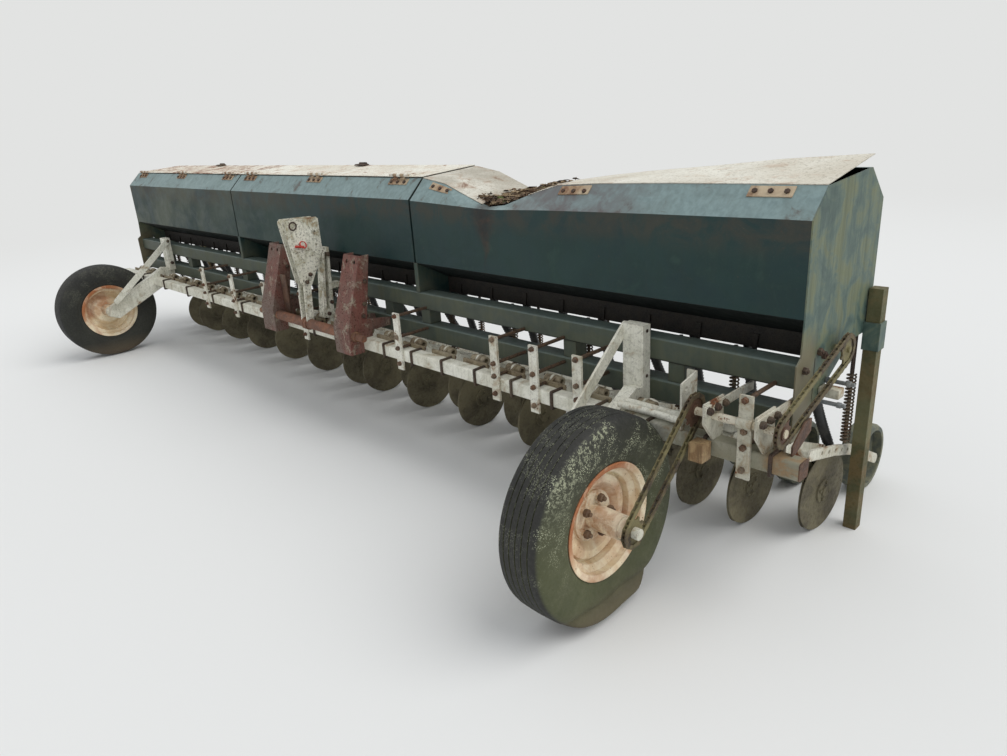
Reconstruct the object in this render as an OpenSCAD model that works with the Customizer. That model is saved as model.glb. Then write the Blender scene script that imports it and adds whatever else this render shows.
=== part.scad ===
// Mounted grain drill: a long seed hopper in three sections on two frame tubes,
// a front tool bar with a centre hitch, one ground wheel near each end,
// and double-disc openers with press wheels in two staggered ranks.
// X runs along the machine, the hitch faces -Y, and Z = 0 is the ground.
// Every outline in Y and Z is measured from the front face of the hopper.

/* [Hopper] */
// Length of one of the three hopper sections, seam to seam
section_len = 2032; // [1600:1:2400]
// Height of the fold below the front panel
fold_low_z = 1006; // [980:1:1060]
// Height of the fold above the front panel
fold_high_z = 1322; // [1250:1:1400]
// Set-back of the front rim from the front panel
rim_front_y = 99; // [60:1:140]
// Height of the front rim
rim_front_z = 1418; // [1405:1:1450]
// Distance of the rear rim from the front panel
rim_rear_y = 446; // [420:1:500]
// Height of the rear rim
rim_rear_z = 1443; // [1425:1:1480]
// Depth of the hopper from front panel to rear panel
hopper_depth = 577; // [560:1:620]
// Height of the fold above the rear panel
rear_fold_z = 1328; // [1250:1:1400]
// Height of the fold below the rear panel
rear_low_z = 1000; // [980:1:1060]
// Front edge of the flat hopper floor
floor_front_y = 200; // [180:1:215]
// Rear edge of the flat hopper floor
floor_rear_y = 340; // [325:1:360]
// Height of the flat hopper floor
floor_z = 900; // [895:1:930]
// Thickness of the hopper sheet
sheet = 3; // [2:0.5:4]
// Width of the seam between two sections
seam_gap = 14; // [8:1:20]
// How deep the dent in the near section is, as a share of the real one
dent = 1; // [0:0.1:1]

/* [Lids] */
// Gap between a closed lid and the hopper rim
lid_gap = 5; // [3:1:8]
// Thickness of the lid sheet
lid_sheet = 3; // [2:0.5:5]
// How far a lid reaches past the rear rim
lid_overhang = 22; // [15:1:40]
// Radius of the lid hinge pin
hinge_pin_r = 5; // [4:0.5:7]
// Running clearance of the hinge pin
pin_clear = 0.08; // [0.05:0.01:0.1]
// Width of one hinge knuckle, five of them to a hinge
knuckle_w = 30; // [24:1:32]
// Distance of the outer hinges from a section's middle
hinge_pitch = 840; // [600:1:860]

/* [Frame tubes] */
// Outside of the two square frame tubes
tube = 89; // [80:1:95]
// Wall of the frame tubes
tube_wall = 6; // [4:1:8]
// Outer corner radius of the square tubes
corner_r = 9; // [6:0.5:12]
// Height of the lower tube's underside
tube_low_z = 597; // [590:1:610]
// Clear height between the two tubes
tube_gap = 77; // [70:1:90]
// Outside of the tube below the rear of the hopper
rear_tube = 60; // [50:1:60]
// Distance of the rear tube's front face from the front panel
rear_tube_y = 508; // [490:1:512]
// Height of the rear tube's underside
rear_tube_z = 850; // [845:1:860]
// Thickness of the end panels
end_t = 5; // [4:0.5:8]
// Thickness of the hanger plates below the seams
hanger_t = 30; // [24:1:30]

/* [Tool bar] */
// How far the tool bar reaches past each end panel
bar_past = 102; // [80:1:140]
// Outside of the square tool bar
bar_size = 63.5; // [60:0.5:64]
// Distance from the tool bar's front face back to the hopper's front plane
bar_front = 189; // [180:1:195]
// Height of the tool bar's top face
bar_top_z = 597.5; // [590:0.5:600]
// Wall of the tool bar
bar_wall = 6; // [4:1:8]

/* [Rows] */
// Distance between rows
row_pitch = 237; // [236:0.5:238]
// Distance of the front rank's disc centres behind the hopper's front plane
front_rank_y = 330; // [320:1:340]
// Distance of the rear rank's disc centres behind the hopper's front plane
rear_rank_y = 460; // [450:1:470]
// Radius of an opener disc
disc_r = 170; // [150:1:172]
// Thickness of an opener disc
disc_t = 4; // [3:0.5:5]
// Toe-in of each opener disc
disc_toe = 5; // [4.8:0.1:6]
// Height of the disc centres above the ground
disc_z = 172; // [172:1:185]
// Radius of a press wheel
press_r = 150; // [130:1:160]
// Width of a press wheel
press_w = 90; // [60:1:92]
// Distance from a disc centre back to its press wheel's axle
press_back = 460; // [430:1:480]

/* [Ground wheels] */
// Distance of each wheel's middle from the end of the hopper
wheel_inset = 456; // [448:1:460]
// Distance of the wheel axle in front of the hopper's front plane
wheel_front = 545; // [545:1:570]
// Radius of the tyre
tyre_r = 375; // [360:1:376]
// Width of the tyre
tyre_w = 200; // [180:1:206]
// Radius of the rim's flange
rim_r = 212; // [200:1:218]
// Width of the rim
rim_w = 168; // [150:1:172]
// Radius of the wheel spindle
spindle_r = 20; // [18:1:22]
// Running clearance between hub and spindle
hub_clear = 0.08; // [0.05:0.01:0.1]

/* [Hitch] */
// Distance of the hitch's middle from the machine's middle
hitch_x = 237; // [220:1:250]
// Half the distance between the two hitch posts, middle to middle
post_half = 420; // [410:1:430]
// Radius of the cross shaft between the posts
shaft_tube_r = 28.5; // [25:0.5:30]
// Radius of the lower link pins
link_r = 18.3; // [14:0.1:19]
// Length of each lower link pin
link_len = 58; // [50:1:80]
// Length of the bush between post and pin
link_bush = 22; // [15:1:30]
// Radius of the top link hole
top_hole_r = 16; // [13:0.5:20]

/* [Stands] */
// Outside of the square parking stand
stand = 50; // [45:1:52]
// Play between the stand and its sleeve
stand_clear = 0.3; // [0.2:0.1:0.6]
// Height of the stand's top end
stand_top = 1007; // [990:1:1030]

/* [Hidden] */
$fn = 32;
half = section_len * 1.5;
bar_len = 2 * (half + bar_past);
wheel_x = half - wheel_inset;
tube_z = [tube_low_z, tube_low_z + tube + tube_gap];
inner_half = half - end_t;
tyre_steps = 44;
wheel_z = tyre_r * cos(180 / tyre_steps);
press_z = press_r;
y_min = -wheel_front - wheel_z;
y_max = rear_rank_y + press_back + press_r;
mid_y = (y_min + y_max) / 2;
cup_half = 32;
rows = 2 * floor((inner_half - cup_half - 20) / row_pitch + 0.5);
bar_back = bar_front - bar_size;
bar_low_z = bar_top_z - bar_size;
shaft_y = (floor_front_y + floor_rear_y) / 2;
shaft_z = floor_z - 54;

// Moves the drill so that the middle of its outline stands over the origin
module place() translate([0, -mid_y, 0]) children();

// Extrudes a Y-Z outline along X, from x0 to x1
module along(x0, x1) translate([x0, 0, 0]) rotate([90, 0, 90]) linear_extrude(x1 - x0) children();

// A box between two corners
module block(a, b) translate(a) cube(b - a);

// A round bar along X, from x0 to x1
module round_x(x0, x1, r) translate([x0, 0, 0]) rotate([0, 90, 0]) cylinder(h = x1 - x0, r = r);

// A flat bar of width w that follows a path of points, mitred at the bends, with round ends
end_steps = 8;
function unit(a) = [cos(a), sin(a)];
function heading(p, q) = atan2(q[1] - p[1], q[0] - p[0]);
function round_end(p, a, r) = [for (k = [0:end_steps]) p + r * unit(a + 90 - 180 * k / end_steps)];
function bar_outline(path, w) = let (n = len(path)) concat(
    [for (i = [1:1:n - 2]) inset_point(path[i - 1], path[i], path[i + 1], -w / 2)],
    round_end(path[n - 1], heading(path[n - 2], path[n - 1]), w / 2),
    [for (i = [n - 2:-1:1]) inset_point(path[i - 1], path[i], path[i + 1], w / 2)],
    round_end(path[0], heading(path[1], path[0]), w / 2));
module flat_bar(path, w) polygon(bar_outline(path, w));

// Direction of rotation for a cylinder that runs from point p to point q
module rod(p, q, r) {
    d = q - p;
    flat = norm([d[0], d[1]]);
    translate(p) rotate([0, atan2(flat, d[2]), atan2(d[1], d[0])]) cylinder(h = norm(d), r = r);
}

// Rows: place along X, and which of them belong to the rear rank
function row_x(i) = (i - (rows - 1) / 2) * row_pitch;
function from_middle(i) = floor(abs(i - (rows - 1) / 2));
swap_row = rows / 2 - 2;
function is_rear(i) = (from_middle(i) % 2 == 1) != (from_middle(i) >= swap_row);
function rank_y(i) = is_rear(i) ? rear_rank_y : front_rank_y;

// The opener's main arm drops behind the bar, then runs straight back and down
arm_w = 54;
arm_t = 12;
pivot = [-70, 600];
arm_knee = [-8, 542];
arm_end_y = rear_rank_y + press_back;
arm_fall = (arm_knee[1] - press_z) / (arm_end_y - arm_knee[0]);
function arm_z(y) = arm_knee[1] - (y - arm_knee[0]) * arm_fall;

// Hopper outline, and the same outline moved in by the sheet's thickness
hopper_line = [[0, fold_low_z], [0, fold_high_z], [rim_front_y, rim_front_z],
    [rim_rear_y, rim_rear_z], [hopper_depth, rear_fold_z], [hopper_depth, rear_low_z],
    [floor_rear_y, floor_z], [floor_front_y, floor_z]];

// Point where two lines meet, each moved to its right by t
function left_normal(p, q) = let (d = (q - p) / norm(q - p)) [-d[1], d[0]];
function inset_point(a, b, c, t) = let (
    n1 = left_normal(a, b), n2 = left_normal(b, c),
    k = 1 + n1 * n2) b - (n1 + n2) * t / k;
function inset_line(line, t) = let (n = len(line)) [for (i = [0:n - 1])
    inset_point(line[(i + n - 1) % n], line[i], line[(i + 1) % n], t)];

module hopper_section(x0, x1) {
    wall_line = inset_line(hopper_line, sheet);
    mouth = [wall_line[2] + [0, -1], wall_line[3] + [0, -1],
        wall_line[3] + [0, 60], wall_line[2] + [0, 60]];
    difference() {
        along(x0, x1) polygon(hopper_line);
        along(x0 + sheet, x1 - sheet) polygon(wall_line);
        along(x0 + sheet, x1 - sheet) polygon(mouth);
    }
}

module hopper_far() color("darkslategray") place()
    hopper_section(-inner_half, -section_len / 2 - seam_gap / 2);
module hopper_mid() color("darkslategray") place()
    hopper_section(-section_len / 2 + seam_gap / 2, section_len / 2 - seam_gap / 2);

// Near section: something heavy pressed its rim down to the front fold. Columns: distance from the
// seam, then how far the front fold, front rim and rear rim are pressed down there, and how far the
// front rim is pushed forward.
dent_rows = [[0, 3, 0, 0, 0], [180, 10, 26, 30, 6], [384, 18, 82, 104, 34], [470, 22, 104, 110, 48],
    [530, 24, 117, 98, 55], [620, 24, 108, 76, 45], [752, 19, 62, 60, 18], [910, 14, 20, 42, 4],
    [1130, 10, 10, 22, 2], [1440, 5, 4, 4, 0], [1900, 0, 0, 0, 0],
    [2040, 0, 0, 0, 0]];
near_seam = section_len / 2;
dent_share = section_len / 2032;
function pressed(x, k) = dent * lookup(x - near_seam, [for (r = dent_rows) [r[0] * dent_share, r[k]]]);
function near_line(x) = [[0, fold_low_z], [0, fold_high_z - pressed(x, 1)], near_rim_front(x),
    near_rim_rear(x), [hopper_depth, rear_fold_z - pressed(x, 3) / 5], [hopper_depth, rear_low_z],
    [floor_rear_y, floor_z], [floor_front_y, floor_z]];
function near_rim_front(x) = [rim_front_y - pressed(x, 4), rim_front_z - pressed(x, 2)];
function near_rim_rear(x) = [rim_rear_y, rim_rear_z - pressed(x, 3)];
rim_lip = 12;
function near_void(x) = let (w = inset_line(near_line(x), sheet),
    d = rim_lip * (w[3] - w[2]) / norm(w[3] - w[2]))
    concat([w[0], w[1], w[2], w[2] + d, w[2] + d + [0, 80], w[3] - d + [0, 80], w[3] - d],
    [for (k = [3:7]) w[k]]);
near_x = [near_seam + seam_gap / 2, inner_half];
near_dents = [for (r = dent_rows) if (r[0] > 100 && r[0] < 2000) near_seam + r[0] * dent_share];
near_stations = concat([near_x[0]], near_dents, [near_x[1]]);
// The end panel closes this section, so its space runs out past its end
near_void_x = concat([near_x[0] + sheet], near_dents, [near_x[1] + 1]);

// A closed body through outlines with the same number of points, one at each station along X
module body_through(xs, outlines) {
    n = len(outlines[0]);
    m = len(xs);
    polyhedron(
        points = [for (i = [0:m - 1], p = outlines[i]) [xs[i], p[0], p[1]]],
        faces = concat([[for (k = [n - 1:-1:0]) k]], [[for (k = [0:n - 1]) (m - 1) * n + k]],
            [for (i = [0:m - 2], k = [0:n - 1]) [i * n + k, i * n + (k + 1) % n, (i + 1) * n + k]],
            [for (i = [0:m - 2], k = [0:n - 1])
                [i * n + (k + 1) % n, (i + 1) * n + (k + 1) % n, (i + 1) * n + k]]));
}
module near_body() body_through(near_stations, [for (x = near_stations) near_line(x)]);
module hopper_near() color("darkslategray") place() difference() {
    near_body();
    body_through(near_void_x, [for (x = near_void_x) near_void(x)]);
}

// Frame tubes
corner_steps = 4;
function round_square(y, z, size, r) = [for (q = [0:3], k = [0:corner_steps])
    [y + (q == 0 || q == 3 ? size - r : r), z + (q < 2 ? size - r : r)]
    + r * unit(90 * (q + k / corner_steps))];
module square_tube(x0, x1, y, z, size, wall) difference() {
    along(x0, x1) polygon(round_square(y, z, size, corner_r));
    along(x0 - 1, x1 + 1) polygon(round_square(y + wall, z + wall, size - 2 * wall, corner_r - wall + 1));
}
module lower_tube() color("darkslategray") place()
    square_tube(-inner_half, inner_half, 0, tube_z[0], tube, tube_wall);
module upper_tube() color("darkslategray") place()
    square_tube(-inner_half, inner_half, 0, tube_z[1], tube, tube_wall);
module rear_tube_bar() color("darkslategray") place()
    square_tube(-inner_half, inner_half, rear_tube_y, rear_tube_z, rear_tube, tube_wall);

post_places = [half - 478, section_len + 8, section_len / 2 + 34, section_len / 2 - 291];
tube_post_w = 70;
module tube_posts() color("darkslategray") place()
    for (side = [-1, 1], x = post_places)
        block([side * x - tube_post_w / 2, corner_r, tube_z[0] + tube],
            [side * x + tube_post_w / 2, tube - corner_r, tube_z[1]]);

cap_t = 4;
module tool_bar() color("ivory") place()
    square_tube(-bar_len / 2 + cap_t, bar_len / 2 - cap_t, -bar_front, bar_low_z, bar_size, bar_wall);
module bar_caps() color("saddlebrown") place()
    for (side = [0, 1]) mirror([side, 0, 0]) along(bar_len / 2 - cap_t, bar_len / 2)
        polygon(round_square(-bar_front, bar_low_z, bar_size, corner_r));

// End panels close the hopper and the tubes. In front they reach down as a tab with a slit behind it.
end_lap = 14;
tab_y = -36;
end_line = [[tab_y, tube_z[0] - end_lap], [tab_y, tube_z[1] + tube + 6], [-6, tube_z[1] + tube + 28],
    [0, fold_low_z], [0, fold_high_z], [rim_front_y, rim_front_z], [rim_rear_y, rim_rear_z],
    [hopper_depth, rear_fold_z], [hopper_depth, rear_tube_z - 20], [rear_tube_y + 2, rear_tube_z - 12],
    [rear_tube_y - 108, rear_tube_z - 14], [tube + 157, tube_z[0] + 151], [tube + 46, tube_z[0] + 92],
    [tube - 16, tube_z[0] - end_lap]];
slit_w = 5;
module end_panels() color("darkolivegreen") place()
    for (side = [0, 1]) mirror([side, 0, 0]) difference() {
        along(inner_half, half) polygon(end_line);
        block([inner_half - 1, tube + 12, tube_z[0] + tube],
            [half + 1, tube + 12 + slit_w, tube_z[1] + tube]);
    }

// Hangers carry the hopper and the rear tube below each seam
hanger_line = [[0, tube_z[1] + tube], [0, fold_low_z], [floor_front_y, floor_z],
    [floor_rear_y, floor_z], [hopper_depth, rear_low_z], [hopper_depth, rear_tube_z - 10],
    [480, shaft_z - 46], [tube, tube_z[1]], [tube, tube_z[1] + tube]];
module hangers() color("darkslategray") place()
    for (x = [-section_len / 2, section_len / 2])
        difference() {
            along(x - hanger_t / 2, x + hanger_t / 2) polygon(hanger_line);
            block([x - hanger_t, rear_tube_y, rear_tube_z],
                [x + hanger_t, rear_tube_y + rear_tube, rear_tube_z + rear_tube]);
            translate([0, shaft_y, shaft_z])
                round_x(x - hanger_t, x + hanger_t, shaft_r + 0.3);
        }

// Lids: a sheet with a turned-down rear lip, hinged along the front rim
lid_slope = atan2(rim_rear_z - rim_front_z, rim_rear_y - rim_front_y);
hinge_at = [-11, 14.8];
hinge_y = rim_front_y + hinge_at[0] * cos(lid_slope) - hinge_at[1] * sin(lid_slope);
hinge_z = rim_front_z + hinge_at[0] * sin(lid_slope) + hinge_at[1] * cos(lid_slope);
lid_depth = (rim_rear_y - rim_front_y) / cos(lid_slope) + lid_overhang;
lid_end = 8;
knuckle_r = hinge_pin_r + 4;
knuckle_gap = 1.5;
knuckle_step = knuckle_w + knuckle_gap;
leaf_w = 5 * knuckle_w + 4 * knuckle_gap;
leaf_h = 38;
strap_half = knuckle_w / 2 - 1.5;
lid_margin = 6;

// Draws in the plane of the rim: Y along the rim from its front edge, Z above it
module on_rim() translate([0, rim_front_y, rim_front_z]) rotate([lid_slope, 0, 0]) children();

module lid_panel(x0, x1) {
    on_rim() {
        block([x0, 0, lid_gap], [x1, lid_depth, lid_gap + lid_sheet]);
        block([x0, lid_depth - lid_sheet, lid_gap - 22], [x1, lid_depth, lid_gap + 1]);
    }
    for (x = hinge_spots(x0, x1), k = [-2, 0, 2]) lid_knuckle(x + k * knuckle_step);
}
function hinge_spots(x0, x1) = let (m = (x0 + x1) / 2) [m - hinge_pitch, m, m + hinge_pitch];

// The lid's half of a hinge is three straps, each ending in a bored knuckle
module lid_knuckle(x) difference() {
    union() {
        on_rim()
            block([x - strap_half, -8, lid_gap + 1], [x + strap_half, 90, lid_gap + lid_sheet + 4]);
        translate([0, hinge_y, hinge_z]) round_x(x - knuckle_w / 2, x + knuckle_w / 2, knuckle_r);
    }
    translate([0, hinge_y, hinge_z])
        round_x(x - knuckle_w / 2 - 1, x + knuckle_w / 2 + 1, hinge_pin_r + pin_clear);
}
far_lid_x = [-inner_half + lid_margin, -section_len / 2 - lid_margin];
mid_lid_x = [-section_len / 2 + lid_margin, section_len / 2 - lid_margin];
module lid_far() color("antiquewhite") place() lid_panel(far_lid_x[0], far_lid_x[1]);
module lid_mid() color("antiquewhite") place() lid_panel(mid_lid_x[0], mid_lid_x[1]);

// The fixed half: a leaf on the front slope, two knuckles and the pin
slope_angle = atan2(rim_front_z - fold_high_z, rim_front_y);
leaf_t = 4;
module on_slope() translate([0, rim_front_y, rim_front_z]) rotate([slope_angle, 0, 0]) children();
module fixed_hinge(x) {
    on_slope() block([x - leaf_w / 2, -8 - leaf_h, 0], [x + leaf_w / 2, -8, leaf_t]);
    for (k = [-1, 1]) translate([x + k * knuckle_step, 0, 0]) {
        translate([0, hinge_y, hinge_z]) round_x(-knuckle_w / 2, knuckle_w / 2, knuckle_r);
        on_slope() block([-knuckle_w / 2, -18, 0], [knuckle_w / 2, -6, 12]);
    }
    translate([0, hinge_y, hinge_z]) round_x(x - leaf_w / 2, x + leaf_w / 2, hinge_pin_r);
}

// On the near section only the leaves are left, bent with the slope that they are bolted to
function on_near(x, u, h) = let (a = [0, fold_high_z - pressed(x, 1)], b = near_rim_front(x),
    n = left_normal(a, b)) a + (b - a) * u + n * h;
leaf_span = [0.62, 0.94];
module bent_leaf(x) difference() {
    xs = [x - leaf_w / 2, x + leaf_w / 2];
    body_through(xs, [for (x = xs) [on_near(x, leaf_span[0], -leaf_t), on_near(x, leaf_span[0], leaf_t),
        on_near(x, leaf_span[1], leaf_t), on_near(x, leaf_span[1], -leaf_t)]]);
    translate([0, -0.2, 0.2]) near_body();
}
near_leaf_x = [near_seam + 174 * dent_share, near_seam + section_len / 2 + 4,
    near_seam + section_len * 0.912];
module lid_hinges() color("saddlebrown") place() {
    for (x = concat(hinge_spots(far_lid_x[0], far_lid_x[1]), hinge_spots(mid_lid_x[0], mid_lid_x[1])))
        fixed_hinge(x);
    for (x = near_leaf_x) bent_leaf(x);
}

// The near lid is torn off its hinges and lies on the dented rim in two bent pieces.
// Columns: place along X of the front and of the back corner, then how far the back edge stands up.
left_lid = [[6, 6, 0], [180, 180, 0], [384, 300, 0], [484, 384, 0]];
right_lid = [[752, 620, 0], [830, 752, 0], [910, 910, 0], [1130, 1130, 0], [1440, 1440, 4], [1700, 1700, 24],
    [2026, 2026, 38]];
seat_gap = 0.6;
module bent_lid(rows) {
    x = [for (r = rows) [near_seam + r[0] * dent_share, near_seam + r[1] * dent_share]];
    n = len(rows);
    front = [for (i = [0:n - 1]) let (p = near_rim_front(x[i][0])) [x[i][0], p[0], p[1] + seat_gap]];
    back = [for (i = [0:n - 1]) let (p = near_rim_rear(x[i][1]))
        [x[i][1], p[0] + lid_overhang, p[1] + seat_gap + rows[i][2] + lid_overhang * tan(lid_slope)]];
    up = [0, 0, lid_sheet];
    polyhedron(
        points = concat(front, back, [for (p = front) p + up], [for (p = back) p + up]),
        faces = concat(
            [for (i = [0:n - 2]) [i, i + 1, n + i]], [for (i = [0:n - 2]) [n + i, i + 1, n + i + 1]],
            [for (i = [0:n - 2]) [2 * n + i, 3 * n + i, 2 * n + i + 1]],
            [for (i = [0:n - 2]) [3 * n + i, 3 * n + i + 1, 2 * n + i + 1]],
            [for (i = [0:n - 2]) [i, 2 * n + i, 2 * n + i + 1, i + 1]],
            [for (i = [0:n - 2]) [n + i, n + i + 1, 3 * n + i + 1, 3 * n + i]],
            [[0, n, 3 * n, 2 * n], [n - 1, 3 * n - 1, 4 * n - 1, 2 * n - 1]]));
}
module lid_near_left() color("antiquewhite") place() bent_lid(left_lid);
module lid_near_right() color("antiquewhite") place() bent_lid(right_lid);

// Feed cups below the floor, on one shaft
shaft_r = 11;
cup_line = [[floor_front_y + 6, floor_z], [floor_front_y + 20, shaft_z - 18], [shaft_y - 22, floor_z - 100],
    [shaft_y + 22, floor_z - 100], [floor_rear_y - 20, shaft_z - 18], [floor_rear_y - 6, floor_z]];
module feed_cups() color("gray") place()
    for (i = [0:rows - 1]) difference() {
        along(row_x(i) - cup_half, row_x(i) + cup_half) polygon(cup_line);
        translate([0, shaft_y, shaft_z])
            round_x(row_x(i) - cup_half - 1, row_x(i) + cup_half + 1, shaft_r + 0.3);
    }
module feed_shaft() color("dimgray") place()
    translate([0, shaft_y, shaft_z]) round_x(-inner_half + 2, inner_half - 2, shaft_r);

// Spring shelf behind the upper tube carries the front rank's springs
shelf_z = tube_z[1] + 12;
shelf_y = 205;
front_spring_y = 168;
rear_spring_y = 540;
spring_r = 20;
press_bar_x = press_w / 2 + 7;
press_bar_t = 10;
press_bar_w = 44;
module spring_shelf() color("darkslategray") place()
    for (span = [[-inner_half, -section_len / 2 - hanger_t / 2],
            [-section_len / 2 + hanger_t / 2, section_len / 2 - hanger_t / 2],
            [section_len / 2 + hanger_t / 2, inner_half]])
        block([span[0], tube, shelf_z], [span[1], shelf_y, shelf_z + 8]);

// One spring as a closely wound stack of rings round its rod
spring_pitch = 16;
module coil_stack(z0, z1) {
    n = floor((z1 - z0) / spring_pitch);
    p = (z1 - z0) / n;
    outline = concat([[8, z0]], [for (i = [0:n - 1], s = [0, 1])
        [s == 0 ? spring_r : spring_r - 7, z0 + (i + 0.25 + s * 0.5) * p]], [[8, z1]], [[0, z1], [0, z0]]);
    rotate_extrude() polygon(outline);
}
arm_rise = arm_w / 2 / cos(atan(arm_fall)) + spring_r * arm_fall;
spring_len = 300;
module springs() color("dimgray") place()
    for (i = [0:rows - 1])
        if (is_rear(i)) translate([row_x(i) + press_bar_x + press_bar_t / 2, rear_spring_y, 0])
            coil_stack(press_seat_z, press_seat_z + spring_len);
        else translate([row_x(i), front_spring_y, 0])
            coil_stack(arm_z(front_spring_y) + arm_rise, shelf_z);
module spring_rods() color("dimgray") place()
    for (i = [0:rows - 1])
        if (is_rear(i)) translate([row_x(i) + press_bar_x + press_bar_t / 2, rear_spring_y, 0]) {
            z0 = press_seat_z + spring_len;
            translate([0, 0, z0]) cylinder(h = rear_tube_z - z0, r = 8);
        }
        else translate([row_x(i), front_spring_y, shelf_z + 8]) cylinder(h = 40, r = 8);

// Pivot brackets on the back of the bar: a plate, two ears and a hollow boss
bracket_t = 12;
boss_r = 25;
ear_t = 12;
plate_clear_z = bar_top_z + 17;
band_x = 92;
module pivot_brackets() color("tan") place()
    for (i = [0:rows - 1]) translate([row_x(i), 0, 0]) difference() {
        union() {
            block([-60, -bar_back, bar_low_z - 14], [band_x + 14, -bar_back + bracket_t, bar_top_z + 16]);
            for (side = [0, 1]) mirror([side, 0, 0]) {
                along(arm_t / 2, arm_t / 2 + ear_t) flat_bar([pivot - [40, 20], pivot], 2 * boss_r);
                translate([0, pivot[0], pivot[1]]) round_x(arm_t / 2, arm_t / 2 + 38, boss_r - 3);
            }
        }
        for (side = [0, 1]) mirror([side, 0, 0])
            translate([0, pivot[0], pivot[1]]) round_x(arm_t / 2 + 10, arm_t / 2 + 60, 12);
        block([-70, -bar_front, bar_low_z - 60], [band_x + 20, -bar_back, bar_top_z + 60]);
    }

// U-bolts round the bar: at every row of the near half, at every second row of the far half
band_t = 9;
band_w = 11;
band_line = [[-bar_back, bar_top_z + band_t], [-bar_front - 4, bar_top_z + band_t],
    [-bar_front - band_t, bar_top_z + 4], [-bar_front - band_t, bar_low_z - 4],
    [-bar_front - 4, bar_low_z - band_t], [-bar_back, bar_low_z - band_t],
    [-bar_back, bar_low_z], [-bar_front, bar_low_z], [-bar_front, bar_top_z], [-bar_back, bar_top_z]];
module u_bolts() color("dimgray") place()
    for (i = [0:rows - 1]) if (i >= rows / 2 || i % 2 == 1)
        along(row_x(i) + band_x - band_w / 2, row_x(i) + band_x + band_w / 2) polygon(band_line);

// Upright straps on the bar's front, tied to both frame tubes by long bolts, counted from the near end
strap_rows = [0, 3, 4, 5, 8, 12, 14, 16, 18];
strap_w = 48;
strap_t = 10;
strap_low_z = 490;
strap_top_z = 790;
tie_z = [tube_z[1] + corner_r + 3, tube_z[0] + 68];
module bar_straps() color("ivory") place()
    for (k = strap_rows) translate([row_x(rows - 1 - k), 0, 0]) {
        difference() {
            union() {
                block([-strap_w / 2, -bar_front - strap_t, strap_low_z],
                    [strap_w / 2, -bar_front, strap_top_z]);
                if (k == strap_rows[0]) translate([0, jack[0], jack[1]])
                    round_x(-strap_w / 2 - 3, strap_w / 2 + 3, jack_r + 7);
            }
            if (k == strap_rows[0]) translate([0, jack[0], jack[1]]) round_x(-strap_w, strap_w, jack_r + 0.3);
        }
        for (z = tie_z) rod([0, -bar_front - strap_t - 8, z], [0, 0, z], 8);
        for (z = [bar_top_z + 9, bar_low_z - 9])
            rod([0, -bar_front - strap_t - 8, z], [0, -bar_back, z], 7);
    }

// Opener arms: dog-leg bar and a shank down between the two discs
module opener_arms() color("ivory") place()
    for (i = [0:rows - 1]) translate([row_x(i), 0, 0]) {
        y = rank_y(i);
        along(-arm_t / 2, arm_t / 2) {
            flat_bar([pivot, arm_knee, [y, arm_z(y)]], arm_w);
            flat_bar([[y, arm_z(y)], [y, disc_z]], 44);
        }
    }

// Two discs a row, toed in until their front edges nearly touch
disc_off = disc_r * sin(disc_toe) + disc_t / 2 + 0.4;
inner_boss_r = 14;
module opener_discs() color("dimgray") place()
    for (i = [0:rows - 1], side = [0, 1]) translate([row_x(i), rank_y(i), disc_z])
        mirror([side, 0, 0]) translate([disc_off, 0, 0]) rotate([0, 0, -disc_toe]) {
            round_x(-disc_t / 2, disc_t / 2, disc_r);
            round_x(disc_t / 2, disc_t / 2 + 8, 50);
            round_x(disc_t / 2, disc_t / 2 + 16, 22);
            round_x(-disc_off + arm_t / 2 + inner_boss_r * sin(disc_toe) + 0.2, 0, inner_boss_r);
        }

// Press wheel arms: an arched bar with holes outside each wheel, with its axle
// Columns of press_path: place behind the disc's centre, height above the opener arm there
press_path = [[-250, -14], [-14, 19], [148, 30]];
function press_line_of(y) = concat([for (p = press_path) [y + p[0], arm_z(y + p[0]) + p[1]]],
    [[y + press_back, press_z]]);
press_hole_at = [0.25, 0.42, 0.58, 0.74, 0.9];
press_hole_r = 9;
press_seat_run = press_line_of(rear_rank_y);
press_seat_fall = -tan(heading(press_seat_run[1], press_seat_run[2]));
press_seat_z = lookup(rear_spring_y, press_seat_run)
    + press_bar_w / 2 / cos(atan(press_seat_fall)) + spring_r * press_seat_fall;
module press_arms() color("ivory") place()
    for (i = [0:rows - 1]) translate([row_x(i), 0, 0]) {
        path = press_line_of(rank_y(i));
        n = len(path);
        difference() {
            along(press_bar_x, press_bar_x + press_bar_t) flat_bar(path, press_bar_w);
            for (t = press_hole_at) let (y = path[0][0] + (path[2][0] - path[0][0]) * t)
                translate([0, y, lookup(y, path)])
                    round_x(press_bar_x - 1, press_bar_x + press_bar_t + 1, press_hole_r);
        }
        translate([0, path[0][0], path[0][1]]) round_x(arm_t / 2, press_bar_x, 15);
        translate([0, path[n - 1][0], path[n - 1][1]]) round_x(-press_w / 2 + 4, press_bar_x, 10);
    }

// Press wheels: a rim with a rubber tread, a thin web and a hub
press_line = [[10.3, -30], [24, -30], [24, -5], [press_r - 26, -5], [press_r - 26, -press_w / 2],
    [press_r - 8, -press_w / 2], [press_r, -press_w / 2 + 14], [press_r, press_w / 2 - 14],
    [press_r - 8, press_w / 2], [press_r - 26, press_w / 2], [press_r - 26, 5], [24, 5], [24, 30],
    [10.3, 30]];
module press_wheels() color("slategray") place()
    for (i = [0:rows - 1]) translate([row_x(i), rank_y(i) + press_back, press_z])
        rotate([0, 90, 0]) rotate_extrude($fn = 48) polygon(press_line);

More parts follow.
